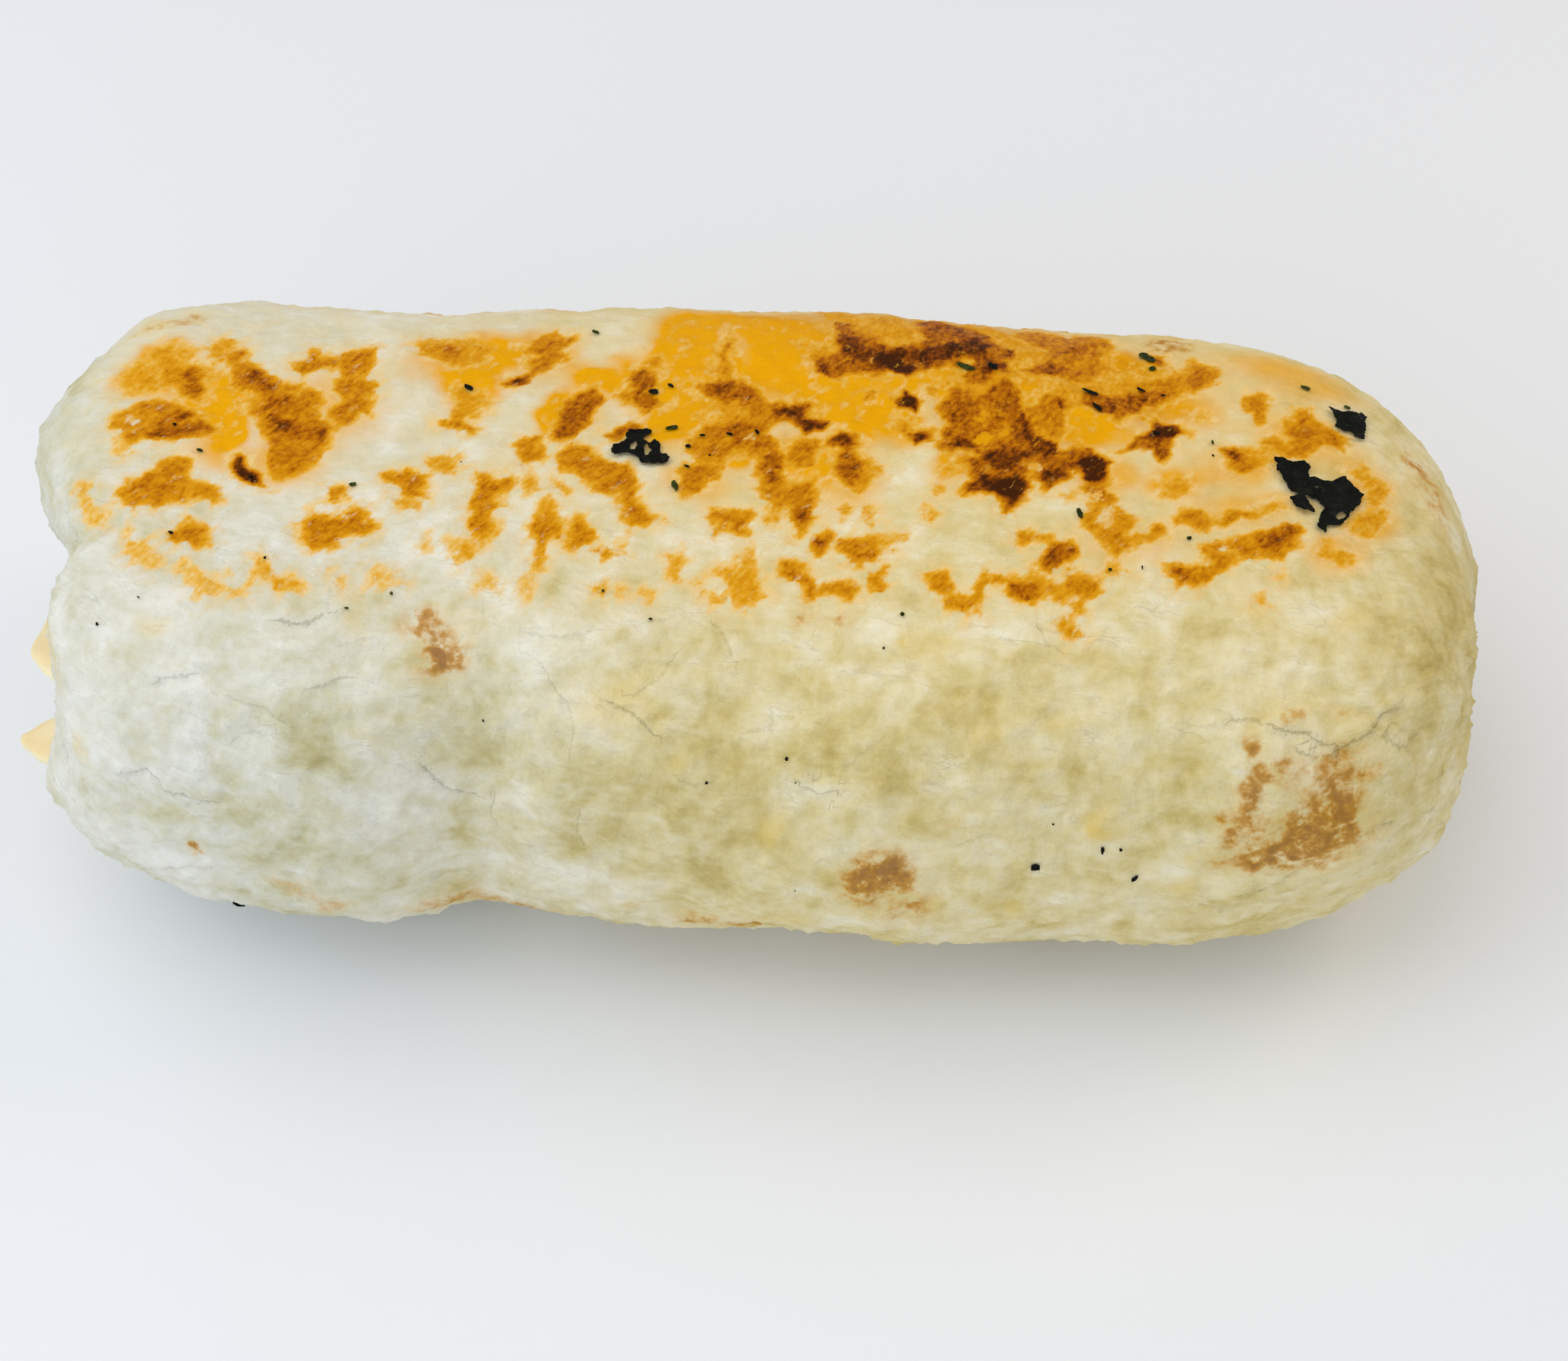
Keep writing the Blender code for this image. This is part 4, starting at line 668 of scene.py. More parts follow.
# relief finer than the frame's: lumps, crepe wrinkles, stretch pleats, cracks and blisters, in mm
def skinRelief(q, along, degrees, fields):
    x = q[..., 0]
    lumps = 0.60 * softNoise(q, 11.0, 41) + 0.42 * softNoise(q, 5.0, 42) + 0.24 * softNoise(q, 2.2, 43)
    slant = np.stack([x + 0.5 * q[..., 2], (q[..., 1] + q[..., 2] - 0.35 * x) * 2.6, q[..., 1] - q[..., 2]], -1)
    crepe = (1 - np.minimum(np.abs(softNoise(slant, 6.5, 44)) * 1.6, 1)) ** 3 * 0.34
    crepe += (1 - np.minimum(np.abs(softNoise(slant, 3.0, 45)) * 1.6, 1)) ** 3 * 0.24
    griddled = rise(degrees, 46, 56) * rise(degrees, 160, 146)
    height = lumps * (1 - 0.45 * griddled) + np.clip(crepe, 0, 1) * (1 - 0.7 * griddled)
    # the griddled face is puffed up in small blisters, scraped flatter where it is toasted
    toasted = rise(fields["toastEdge"], -0.4, 0.6)
    blisters = 0.20 * softNoise(q, 2.6, 48) + 0.13 * softNoise(q, 1.3, 49)
    height += griddled * (blisters * (1 - 0.5 * toasted) - 0.10 * toasted)
    height += 0.9 * bell(degrees, 51, 6) * rise(np.abs(x), 76, 60) * np.maximum(blisters, 0)
    # pleats that run round the girth where the inner fold is stretched over the left end
    pull = along + 0.05 * (degrees - 95) + 1.2 * softNoise(q, 9.0, 46)
    bulge = rise(along, -84, -90) * rise(along, -108, -100) * rise(degrees, 45, 62) * rise(degrees, 170, 140)
    height += bulge * 0.30 * (1 - np.abs(np.sin(pull * math.pi / 3.1))) ** 2
    height += bulge * 0.12 * (1 - np.abs(np.sin(pull * math.pi / 1.3 + 2))) ** 2
    # fine gathers that run down and round the right end
    gather = degrees * 0.62 + 1.15 * (x - 60) + 1.6 * softNoise(q, 8.0, 47)
    ends = rise(x, 66, 76) * rise(degrees, -28, -12) * rise(degrees, 60, 30)
    height += ends * 0.20 * (1 - np.abs(np.sin(gather * math.pi / 4.2))) ** 2
    side, reach = fields["crackSide"], fields["crackReach"]
    height += reach * (0.50 * rise(side, -0.15, 0.30) * np.exp(-np.maximum(side, 0) / 0.9)
                       - 0.40 * bell(side, -0.20, 0.4))
    return height


# the mesh's own values, one a point, that its material reads by name
def addFields(mesh, fields):
    for name, values in fields.items():
        values = np.asarray(values, np.float32)
        layer = mesh.attributes.new(name, "FLOAT" if values.ndim == 1 else "FLOAT_VECTOR", "POINT")
        layer.data.foreach_set("value" if values.ndim == 1 else "vector", values.ravel())


# a mesh object from points in mm and faces of four or three corners, with smooth shading
def addMesh(name, points, faces, finish, body="root"):
    mesh = bpy.data.meshes.new(name)
    mesh.from_pydata((np.asarray(points) * mm).tolist(), [], faces)
    mesh.polygons.foreach_set("use_smooth", np.ones(len(mesh.polygons), bool))
    mesh.materials.append(finish)
    mesh.update()
    piece = bpy.data.objects.new(name, mesh)
    bpy.context.scene.collection.objects.link(piece)
    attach(piece, body)
    return piece


# faces of a tube of rings of points, closed by a fan to a pole at each end
def tubeFaces(rings, sides):
    i, j = np.meshgrid(np.arange(rings - 1), np.arange(sides), indexing="ij")
    k = (j + 1) % sides
    quads = np.stack([i * sides + j, (i + 1) * sides + j, (i + 1) * sides + k, i * sides + k], -1).reshape(-1, 4)
    j = np.arange(sides)
    k = (j + 1) % sides
    first, last, top = rings * sides, rings * sides + 1, (rings - 1) * sides
    start = np.stack([np.full(sides, first), j, k], -1)
    end = np.stack([np.full(sides, last), top + k, top + j], -1)
    return quads.tolist() + start.tolist() + end.tolist()


# the tube's faces laid flat: along the roll across, and round the roll up, with no face over another
def layFlat(mesh, rings, sides):
    flat = mesh.uv_layers.new(name="OFBake")
    i, j = np.meshgrid(np.arange(rings - 1), np.arange(sides), indexing="ij")
    u = np.stack([i, i + 1, i + 1, i], -1).reshape(-1, 4) + 1
    v = np.stack([j, j, j + 1, j + 1], -1).reshape(-1, 4)
    j = np.arange(sides)
    u = np.concatenate([u.ravel(), np.tile([0, 1, 1], sides), np.tile([rings + 1, rings, rings], sides)])
    v = np.concatenate([v.ravel(), np.stack([j + 0.5, j, j + 1], -1).ravel(), np.stack([j + 0.5, j + 1, j], -1).ravel()])
    flat.data.foreach_set("uv", np.stack([u / (rings + 1), v / sides], -1).astype(np.float32).ravel())


# ---- materials
# linear colour of an sRGB hex value, by the standard curve
def colour(hexValue):
    parts = [int(hexValue[i:i + 2], 16) / 255 for i in (1, 3, 5)]
    return (*[c / 12.92 if c <= 0.04045 else ((c + 0.055) / 1.055) ** 2.4 for c in parts], 1.0)


# one node: values for its first sockets in order, named ones after them, a ramp's stops, its settings;
# a value may be an output to link, a number or a hex colour. Returns an output of the node
def addNode(tree, kind, *values, named=None, out=0, stops=None, **settings):
    node = tree.nodes.new("ShaderNode" + kind)
    for name, value in settings.items():
        setattr(node, name, value)
    for place, value in [*enumerate(values), *(named or {}).items()]:
        if isinstance(value, bpy.types.NodeSocket):
            tree.links.new(value, node.inputs[place])
        else:
            node.inputs[place].default_value = colour(value) if isinstance(value, str) else value
    if stops:
        ramp = node.color_ramp
        while len(ramp.elements) < len(stops):
            ramp.elements.new(0.5)
        for element, (place, shade) in zip(ramp.elements, stops):
            element.position, element.color = place, colour(shade)
    return node.outputs[out] if len(node.outputs) else node


# a new material, and addNode bound to its tree
def newMaterial(name):
    made = bpy.data.materials.new(name)
    made.use_nodes = True
    made.node_tree.nodes.clear()
    return made, partial(addNode, made.node_tree)


tortillaLook = {
    # dough from damp to dry, at the left end and at the right; the left is cooler and whiter and the right yellower,
    # partly the dough's own tone and partly painted cool light from the left and painted warm light from the right
    "left": [(0.0, "#B9AA74"), (0.26, "#CBC296"), (0.48, "#D9D4B4"), (0.70, "#E3E0CC"), (1.0, "#F1EFE2")],
    "right": [(0.0, "#BFA75E"), (0.26, "#D3BE78"), (0.48, "#E1CF92"), (0.70, "#ECDDAC"), (1.0, "#F6ECCB")],
    # the griddled face between the patches also goes cooler at the left and yellower at the right: partly its own tone,
    # partly painted cool and warm light
    "warmLeft": "#EFE2BE", "warmRight": "#EBD392",                 # the griddled face between the patches
    "gold": "#EBCB66", "oil": "#F6AE00", "amber": "#DF9400",
    "rust": [(0.15, "#E9C77C"), (0.36, "#D69E3C"), (0.62, "#BC7F18"), (0.90, "#A0660A")],
    "haloLight": "#F1CC84", "haloDeep": "#ECA60A",
    "toast": [(0.14, "#F6D28C"), (0.30, "#F2BC50"), (0.45, "#E9A418"), (0.60, "#DA8E04"), (0.75, "#BA6900"),
              (0.88, "#803E00"), (1.0, "#462002")],
    # olive-grey of the crack lines and hair creases: partly the dough's own olive, partly painted shade in the slits
    "creaseShade": "#93824A",
    "mottle": 9.0, "flake": 1.8, "grain": 0.8, "fibre": 0.55,      # sizes of the patterns, mm
    "fibreLean": -8.0, "fibreLength": 2.6,                         # crepe of the dough, along the roll
    "strokeLean": 54.0, "strokeLength": 2.6, "stroke": 0.6,        # griddle strokes on the toasted skin
    "edgeTear": 0.45,                                              # how far noise moves a toasted edge, mm
}


# Wheat flour tortilla, griddled. Soft, dry, matt dough with light under its skin, so it glows a
# little; flat crisp toasted flakes with torn edges where it touched the hot plate, greasier there.
def tortillaMaterial(look):
    made, node = newMaterial("wheat flour tortilla, griddled")
    spot = node("TexCoord", out="Object")
    skin = node("Attribute", attribute_name="skin", out="Vector")
    strokes = node("Mapping", skin, named={"Rotation": (0, 0, math.radians(look["strokeLean"])),
                                           "Scale": (look["strokeLength"], 1, 1)}, vector_type="TEXTURE")
    threads = node("Mapping", skin, named={"Rotation": (0, 0, math.radians(look["fibreLean"])),
                                           "Scale": (look["fibreLength"], 1, 1)}, vector_type="TEXTURE")
    value = {name: node("Attribute", attribute_name=name, out="Fac")
             for name in ("toastEdge", "toastDepth", "side", "warm", "oil", "amber", "olive", "bloom", "gold",
                          "rust", "crackSide", "crackReach")}
    # each pattern: where it is read, its size in mm, detail, roughness, distortion
    pattern = {name: node("TexNoise", place, named={"Scale": 1 / (size * mm), "Detail": detail,
                                                    "Roughness": rough, "Distortion": bent})
               for name, (place, size, detail, rough, bent) in {
                   "mottle": (spot, look["mottle"], 9.0, 0.66, 0.5), "flake": (spot, look["flake"], 3.0, 0.5, 0),
                   "grain": (spot, look["grain"], 3.0, 0.6, 0), "fibre": (spot, look["fibre"], 3.0, 0.6, 0),
                   "thread": (threads, 0.9, 5.0, 0.66, 0.3), "crepe": (threads, 2.6, 5.0, 0.6, 0.6),
                   "stroke": (strokes, look["stroke"], 4.0, 0.6, 0), "pore": (strokes, 1.1, 3.0, 0.7, 0),
                   "patch": (spot, 4.6, 4.0, 0.6, 0.3), "lace": (strokes, 1.3, 5.0, 0.7, 0.4)}.items()}

    # dough: one number from damp to dry, from the clouding, the crepe and the stains, picks its colour
    dry = node("MapRange", pattern["mottle"], 0.28, 0.72, -0.08, 0.58)
    dry = node("Math", node("MapRange", pattern["patch"], 0.3, 0.7, -0.26, 0.14), dry, operation="ADD")
    for part, much in ((pattern["crepe"], 0.42), (pattern["thread"], 0.25), (pattern["flake"], 0.22), (value["bloom"], 0.26), (value["olive"], -0.36)):
        dry = node("Math", part, much, dry, operation="MULTIPLY_ADD")
    # the left colours are cooler and whiter, the right yellower: partly the dough's own tone, partly painted cool light
    # from the left and warm light from the right
    left, right = node("ValToRGB", dry, stops=look["left"]), node("ValToRGB", dry, stops=look["right"])
    shade = node("Mix", value["side"], named={6: left, 7: right}, data_type="RGBA", out=2)
    warm = node("Mix", value["side"], named={6: look["warmLeft"], 7: look["warmRight"]}, data_type="RGBA", out=2)
    share = node("Math", value["warm"], node("MapRange", pattern["patch"], 0.36, 0.62, 0.85, 0.15), operation="MULTIPLY")
    shade = node("Mix", share, named={6: shade, 7: warm}, data_type="RGBA", out=2)
    # hair creases where the crepe crosses its middle, each only part of its way, darkened a little in colour as painted
    # shade in the creases
    hair = node("Math", pattern["crepe"], 0.5, operation="SUBTRACT")
    hair = node("MapRange", node("Math", hair, operation="ABSOLUTE"), 0.022, 0.0, interpolation_type="SMOOTHSTEP")
    hair = node("Math", hair, node("MapRange", pattern["patch"], 0.50, 0.62), operation="MULTIPLY")
    hair = node("Math", hair, node("Math", 1.0, value["warm"], operation="SUBTRACT"), operation="MULTIPLY", use_clamp=True)
    shade = node("Mix", node("Math", hair, 0.04, operation="MULTIPLY"), named={6: shade, 7: look["creaseShade"]},
                 data_type="RGBA", out=2)
    # each fatty stain takes its colour in through its own field, broken up by the clouding
    for name, much, breaker in (("gold", 0.85, "flake"), ("oil", 2.5, "mottle"), ("amber", 1.6, "flake")):
        share = node("MapRange", pattern[breaker], 0.30, 0.56, 0.5 * much, much)
        share = node("Math", value[name], share, operation="MULTIPLY", use_clamp=True)
        shade = node("Mix", share, named={6: shade, 7: look[name]}, data_type="RGBA", out=2)

    # hot-plate spots: soft brown, darker in grains towards the middle
    speckle = node("MapRange", pattern["grain"], 0.3, 0.7, 0.06, 0.62)
    speckle = node("Math", speckle, node("MapRange", pattern["flake"], 0.32, 0.68, 0.0, 0.85), operation="ADD")
    rusty = node("Math", value["rust"], speckle, operation="MULTIPLY")
    share = node("MapRange", rusty, 0.03, 0.52, 0.0, 0.88)
    shade = node("Mix", share, named={6: shade, 7: node("ValToRGB", rusty, stops=look["rust"])}, data_type="RGBA", out=2)

    # a golden halo round the toasting, then the toasting itself with a torn edge
    edge = value["toastEdge"]
    for name, much in (("flake", look["edgeTear"]), ("lace", 0.85), ("stroke", 0.10), ("grain", 0.22)):
        edge = node("Math", edge, node("MapRange", pattern[name], 0.25, 0.75, -much, much), operation="ADD")
    share = node("Math", node("MapRange", edge, -2.4, 0.1, interpolation_type="SMOOTHSTEP"),
                 node("MapRange", value["toastDepth"], 0.25, 0.7, 0.45, 0.95), operation="MULTIPLY")
    share = node("Math", share, node("MapRange", pattern["lace"], 0.40, 0.58, 0.25, 1.0), operation="MULTIPLY")
    golden = node("Math", value["oil"], 0.6, value["toastDepth"], operation="MULTIPLY_ADD")
    halo = node("Mix", node("MapRange", golden, 0.3, 0.6), named={6: look["haloLight"], 7: look["haloDeep"]},
                data_type="RGBA", out=2)
    shade = node("Mix", share, named={6: shade, 7: halo}, data_type="RGBA", out=2)
    crisp = node("MapRange", value["toastDepth"], 0.25, 0.6, 0.9, 0.28)
    toasted = node("MapRange", edge, node("Math", crisp, -0.7, operation="MULTIPLY"), crisp,
                   interpolation_type="SMOOTHSTEP")
    depth = value["toastDepth"]
    for source, low, high, less, more in ((edge, 0.0, 1.6, -0.12, 0.05), (pattern["stroke"], 0.3, 0.7, -0.08, 0.08),
                                          (pattern["lace"], 0.3, 0.7, 0.13, -0.13), (pattern["grain"], 0.3, 0.7, -0.08, 0.08)):
        depth = node("Math", depth, node("MapRange", source, low, high, less, more), operation="ADD")
    # pores: pale specks that the plate missed, about a millimetre across
    toasted = node("Math", toasted, node("MapRange", pattern["pore"], 0.60, 0.70, 1.0, 0.30), operation="MULTIPLY")
    shade = node("Mix", toasted, named={6: shade, 7: node("ValToRGB", depth, stops=look["toast"])},
                 data_type="RGBA", out=2)

    # cracks in the dry skin: a dull thin darker line, broken by the grain, partly the dough's own olive and partly
    # painted shade in the slit
    beside = node("Math", value["crackSide"], node("MapRange", pattern["fibre"], 0.3, 0.7, -0.18, 0.18), operation="ADD")
    line = node("MapRange", node("Math", beside, operation="ABSOLUTE"), 0.22, 0.03, interpolation_type="SMOOTHSTEP")
    line = node("Math", line, value["crackReach"], operation="MULTIPLY")
    line = node("Math", line, node("MapRange", pattern["grain"], 0.32, 0.48), operation="MULTIPLY")
    shade = node("Mix", node("Math", line, 0.36, operation="MULTIPLY"), named={6: shade, 7: look["creaseShade"]},
                 data_type="RGBA", out=2)

    # relief in mm: fibre, crepe and grain on the dough, flakes and pores on the toasting
    height = node("Math", node("Math", pattern["stroke"], toasted, operation="MULTIPLY"), 0.10, operation="MULTIPLY")
    for part, much in ((pattern["fibre"], 0.05), (pattern["thread"], 0.22), (pattern["crepe"], 0.30),
                       (pattern["mottle"], 0.5), (pattern["grain"], 0.12), (pattern["flake"], 0.16),
                       (toasted, -0.05), (line, -0.12), (hair, -0.05)):
        height = node("Math", part, much, height, operation="MULTIPLY_ADD")
    bump = node("Bump", named={"Height": height, "Strength": 0.85, "Distance": 0.001})
    greasy = node("Math", value["oil"], toasted, operation="MAXIMUM")
    shader = node("BsdfPrincipled", named={
        "Base Color": shade, "Roughness": node("MapRange", greasy, 0.0, 1.0, 0.72, 0.52), "IOR": 1.45,
        "Subsurface Weight": node("MapRange", greasy, 0.0, 0.8, 0.08, 0.0), "Subsurface Radius": (1.0, 0.6, 0.3), "Subsurface Scale": 0.0012,
        "Specular IOR Level": 0.05, "Normal": bump})
    node("OutputMaterial", shader)
    return made


cheeseLook = {"cloud": 5.0, "grain": 0.5, "pale": "#FAEBC6",
              "body": [(0.32, "#F2D8A2"), (0.5, "#F6E0AE"), (0.68, "#F9E9C2")]}


# Mild sliced cheese, at room temperature: smooth, waxy and slightly translucent, paler at its cut edges.
def cheeseMaterial(look):
    made, node = newMaterial("mild sliced cheese")
    spot = node("TexCoord", out="Object")
    cloud = node("TexNoise", spot, named={"Scale": 1 / (look["cloud"] * mm), "Detail": 3.0})
    grain = node("TexNoise", spot, named={"Scale": 1 / (look["grain"] * mm), "Detail": 3.0})
    shade = node("Mix", node("Attribute", attribute_name="rim", out="Fac"), data_type="RGBA", out=2,
                 named={6: node("ValToRGB", cloud, stops=look["body"]), 7: look["pale"]})
    height = node("Math", cloud, 0.18, node("Math", grain, 0.05, operation="MULTIPLY"), operation="MULTIPLY_ADD")
    bump = node("Bump", named={"Height": height, "Strength": 0.6, "Distance": 0.001})
    shader = node("BsdfPrincipled", named={
        "Base Color": shade, "Roughness": node("MapRange", grain, 0.3, 0.7, 0.34, 0.5), "IOR": 1.46,
        "Subsurface Weight": 0.35, "Subsurface Radius": (1.0, 0.6, 0.2), "Subsurface Scale": 0.002, "Normal": bump})
    node("OutputMaterial", shader)
    return made


# leaf colours from dark to light; the lighter ones land on the crumpled ridges as painted gleam, with grey ash on the
# charred leaf and paler green on the wilted herb
leafLook = {"shades": [(0.38, "#050604"), (0.55, "#10130C"), (0.72, "#2B2A20")], "crumple": 1.2, "grain": 0.35}
herbLook = {"shades": [(0.38, "#1B2208"), (0.55, "#39420F"), (0.72, "#5C6420")], "crumple": 1.0, "grain": 0.3}


# Coriander leaf and herb bits, charred on the griddle: near black and brittle, with a dull gleam painted lighter into
# the colour of the crumpled ridges, and a little grey ash; the greener ones only wilted.
def leafMaterial(name, look):
    made, node = newMaterial(name)
    spot = node("TexCoord", out="Object")
    crumple = node("TexNoise", spot, named={"Scale": 1 / (look["crumple"] * mm), "Detail": 5.0, "Roughness": 0.6})
    grain = node("TexNoise", spot, named={"Scale": 1 / (look["grain"] * mm), "Detail": 3.0})
    # colour follows the crumple and is lighter on its ridges: painted gleam on the ridges, with a little grey ash
    mixed = node("Math", crumple, 0.7, node("Math", grain, 0.3, operation="MULTIPLY"), operation="MULTIPLY_ADD")
    height = node("Math", crumple, 0.5, node("Math", grain, 0.12, operation="MULTIPLY"), operation="MULTIPLY_ADD")
    shader = node("BsdfPrincipled", named={
        "Base Color": node("ValToRGB", mixed, stops=look["shades"]), "Specular IOR Level": 0.12, "IOR": 1.45,
        "Roughness": node("MapRange", grain, 0.3, 0.7, 0.42, 0.7),
        "Normal": node("Bump", named={"Height": height, "Strength": 0.9, "Distance": 0.001})})
    node("OutputMaterial", shader)
    return made


# ---- the tortilla
# outward direction of a closed grid of points: cross product of its differences along and round
def gridNormals(grid):
    alongWay = np.gradient(grid, axis=0)
    roundWay = np.roll(grid, -1, 1) - np.roll(grid, 1, 1)
    normal = np.cross(alongWay, roundWay)
    return normal / np.maximum(np.linalg.norm(normal, axis=-1, keepdims=True), 1e-12)


# moves points in mm to where the frame holds the tortilla
def frameShift():
    along = np.linspace(roll["leftStart"] - roll["leftCap"], roll["rightStart"] + roll["rightCap"], 85)
    turn = np.linspace(0, 2 * math.pi, 52, endpoint=False)
    own = burritoSurface(along[:, None], turn[None, :]).reshape(-1, 3)
    low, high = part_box("tortilla")
    return (np.array(low) + np.array(high)) / 2 / mm - (own.min(0) + own.max(0)) / 2


def makeTortilla(finish):
    rings, sides = roll["rings"], roll["sides"]
    along = np.linspace(roll["leftStart"] - roll["leftCap"], roll["rightStart"] + roll["rightCap"], rings + 2)[1:-1]
    degrees = turnSteps()
    along, degrees = np.meshgrid(along, degrees, indexing="ij")
    grid = burritoSurface(along, np.radians(degrees))
    fields = skinFields(grid, along, degrees)
    height = skinRelief(grid, along, degrees, fields)
    grid = grid + gridNormals(grid) * height[..., None]
    grid[..., 2] = np.maximum(grid[..., 2], 0)
    points = np.concatenate([grid.reshape(-1, 3), grid[0].mean(0)[None], grid[-1].mean(0)[None]])
    piece = addMesh("tortilla_wrap", points + shift, tubeFaces(rings, sides), finish)
    fields["skin"] = np.stack([along, degrees * roll["girthPerDegree"], 0 * along], -1) * mm
    for name, v in fields.items():
        flat = v.reshape(rings * sides, -1)
        fields[name] = np.concatenate([flat, v[0].mean(0, keepdims=True).reshape(1, -1),
                                       v[-1].mean(0, keepdims=True).reshape(1, -1)]).squeeze()
    addFields(piece.data, fields)
    layFlat(piece.data, rings, sides)
    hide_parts("tortilla")
    return piece


# ---- cheese corners
cheese = {
    "root": -78.0, "thick": 1.5, "rings": 46, "sides": 44, "tipHalf": 0.4,
    # where the sides leave the roll, the tip, how the sides run back from it, height and droop of the tip
    "corners": {
        "cheese_corner_rear": {"sides": (-12.5, 14.0), "tip": (-92.7, -6.3), "slopes": (-1.3, 5.0),
                               "height": 26.0, "hang": 0.8},
        "cheese_corner_front": {"sides": (-21.5, -9.8), "tip": (-93.4, -15.4), "slopes": (-0.95, 0.7),
                                "height": 20.0, "hang": 1.0},
    },
}


# a slice's corner: its section is a flat superellipse between two sides that run back from the tip till
# they reach its full width, the whole hanging as the square of the way to the tip, its faces a slow wave
def makeCheese(name, size, finish):
    tipX, tipY = size["tip"]
    mouth = roll["leftTip"] + 2.0
    s = np.linspace(0, 1, cheese["rings"])[:, None] ** 0.6
    x = cheese["root"] + (tipX - cheese["root"]) * s
    behind = x - tipX
    t = np.clip((mouth - x) / (mouth - tipX), 0, 1)
    slopes = size["slopes"]
    full = size["sides"][0] - tipY + cheese["tipHalf"], size["sides"][1] - tipY - cheese["tipHalf"]
    # each side is a line that bends over softly to the slice's full width
    reach = [slope * behind / (1 + (slope * behind / side) ** 4) ** 0.25 for side, slope in zip(full, slopes)]
    ripple = 0.10 * np.sin(x * 1.9 + 1.0) * rise(behind, 0.3, 1.5)
    low = tipY - cheese["tipHalf"] + reach[0] + ripple
    high = tipY + cheese["tipHalf"] + reach[1] - ripple
    blunt = np.sqrt(np.clip(1 - (1 - np.clip(behind / 0.5, 0, 1)) ** 2, 0, 1))
    centre, half = (low + high) / 2, (high - low) / 2 * blunt
    angle = np.linspace(0, 2 * math.pi, cheese["sides"], endpoint=False)[None, :]
    c, q = np.cos(angle), np.sin(angle)
    wide = np.sign(c) * np.abs(c) ** 0.35
    tall = np.sign(q) * np.abs(q) ** 0.6
    y = centre + half * wide
    x = x + 0 * y
    wave = 0.22 * np.sin(x / 2.3 + y / 3.1) + 0.12 * np.sin(y / 1.3 + 1.0)
    fade = rise(t, 0.0, 0.3)
    z = size["height"] - size["hang"] * t * t + cheese["thick"] / 2 * tall * (0.55 + 0.45 * blunt) + wave * fade
    grid = np.stack([x, y, z], -1)[:-1]
    grid = grid - (roll["originX"], roll["originY"], 0)
    start, end = grid[0].mean(0), grid[-1].mean(0)
    end[0] -= 0.05
    points = np.concatenate([grid.reshape(-1, 3), start[None], end[None]])
    faces = [face[::-1] for face in tubeFaces(len(grid), cheese["sides"])]
    piece = addMesh(name.replace("corner", "slice"), points + shift, faces, finish)
    rim = np.concatenate([(rise(np.abs(wide), 0.93, 1.0) * 0.7 + 0 * x)[:-1].ravel(), [0, 1]])
    addFields(piece.data, {"rim": rim})
    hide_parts(name)
    return piece


# ---- charred leaves: outlines as (along, degrees) corners, torn by noise
leaves = {
    "leaf_large": {
        "outline": [(55.6, 96.2), (56.4, 96.8), (57.4, 95.8), (59.3, 95.8), (59.7, 93.8), (59.6, 91.0), (61.0, 90.2),
                    (62.2, 90.2), (63.0, 91.8), (63.9, 92.2), (64.7, 89.4), (66.0, 86.2), (65.4, 83.6), (64.3, 81.0),
                    (63.9, 78.6), (62.8, 76.6), (61.4, 76.0), (60.9, 73.8), (60.2, 76.0), (60.5, 79.0), (60.9, 81.2),
                    (60.3, 83.4), (59.3, 84.8), (57.4, 86.4), (56.6, 89.6), (56.1, 92.6)],
        "extra": [[(57.2, 83.8), (58.4, 85.4), (59.5, 83.6), (60.1, 79.4), (59.0, 80.8), (57.8, 81.6)]],
        "holes": [(62.8, 78.6, 1.2, 2.2, 20), (60.3, 87.6, 0.4, 0.8, 0)], "lift": 0.42, "crumple": 0.32,
    },
    "leaf_small": {
        "outline": [(64.2, 116.4), (65.4, 115.4), (66.4, 116.2), (67.4, 116.0), (68.4, 118.6), (68.6, 115.4),
                    (67.8, 112.0), (67.0, 107.0), (65.9, 109.0), (63.9, 109.6), (64.4, 112.6)],
        "extra": [], "holes": [], "lift": 0.38, "crumple": 0.28,
    },
    "leaf_middle": {
        "outline": [(-21.4, 98.4), (-21.1, 100.4), (-20, 101.2), (-18.5, 100.6), (-18.2, 99.2), (-19.0, 98.2), (-19.2, 96.8),
                    (-18.4, 96.2), (-17.9, 97.2), (-17.2, 95.4), (-17.3, 92.6), (-16.7, 92.8), (-16.1, 91.4), (-16.5, 89.2),
                    (-17.7, 88.5), (-19.1, 88.9), (-19.8, 90.6), (-20.2, 91.9), (-21.4, 92.2), (-22.6, 91.6),
                    (-23.1, 93.4), (-22.9, 95.3), (-22.0, 95.6), (-21.2, 97.2)],
        "extra": [], "holes": [(-20.4, 94.8, 0.7, 3.6, 10), (-18.7, 93.8, 0.6, 3.4, 0)], "lift": 0.36, "crumple": 0.26,
    },
}
leafStep, leafThick = 0.15, 0.16


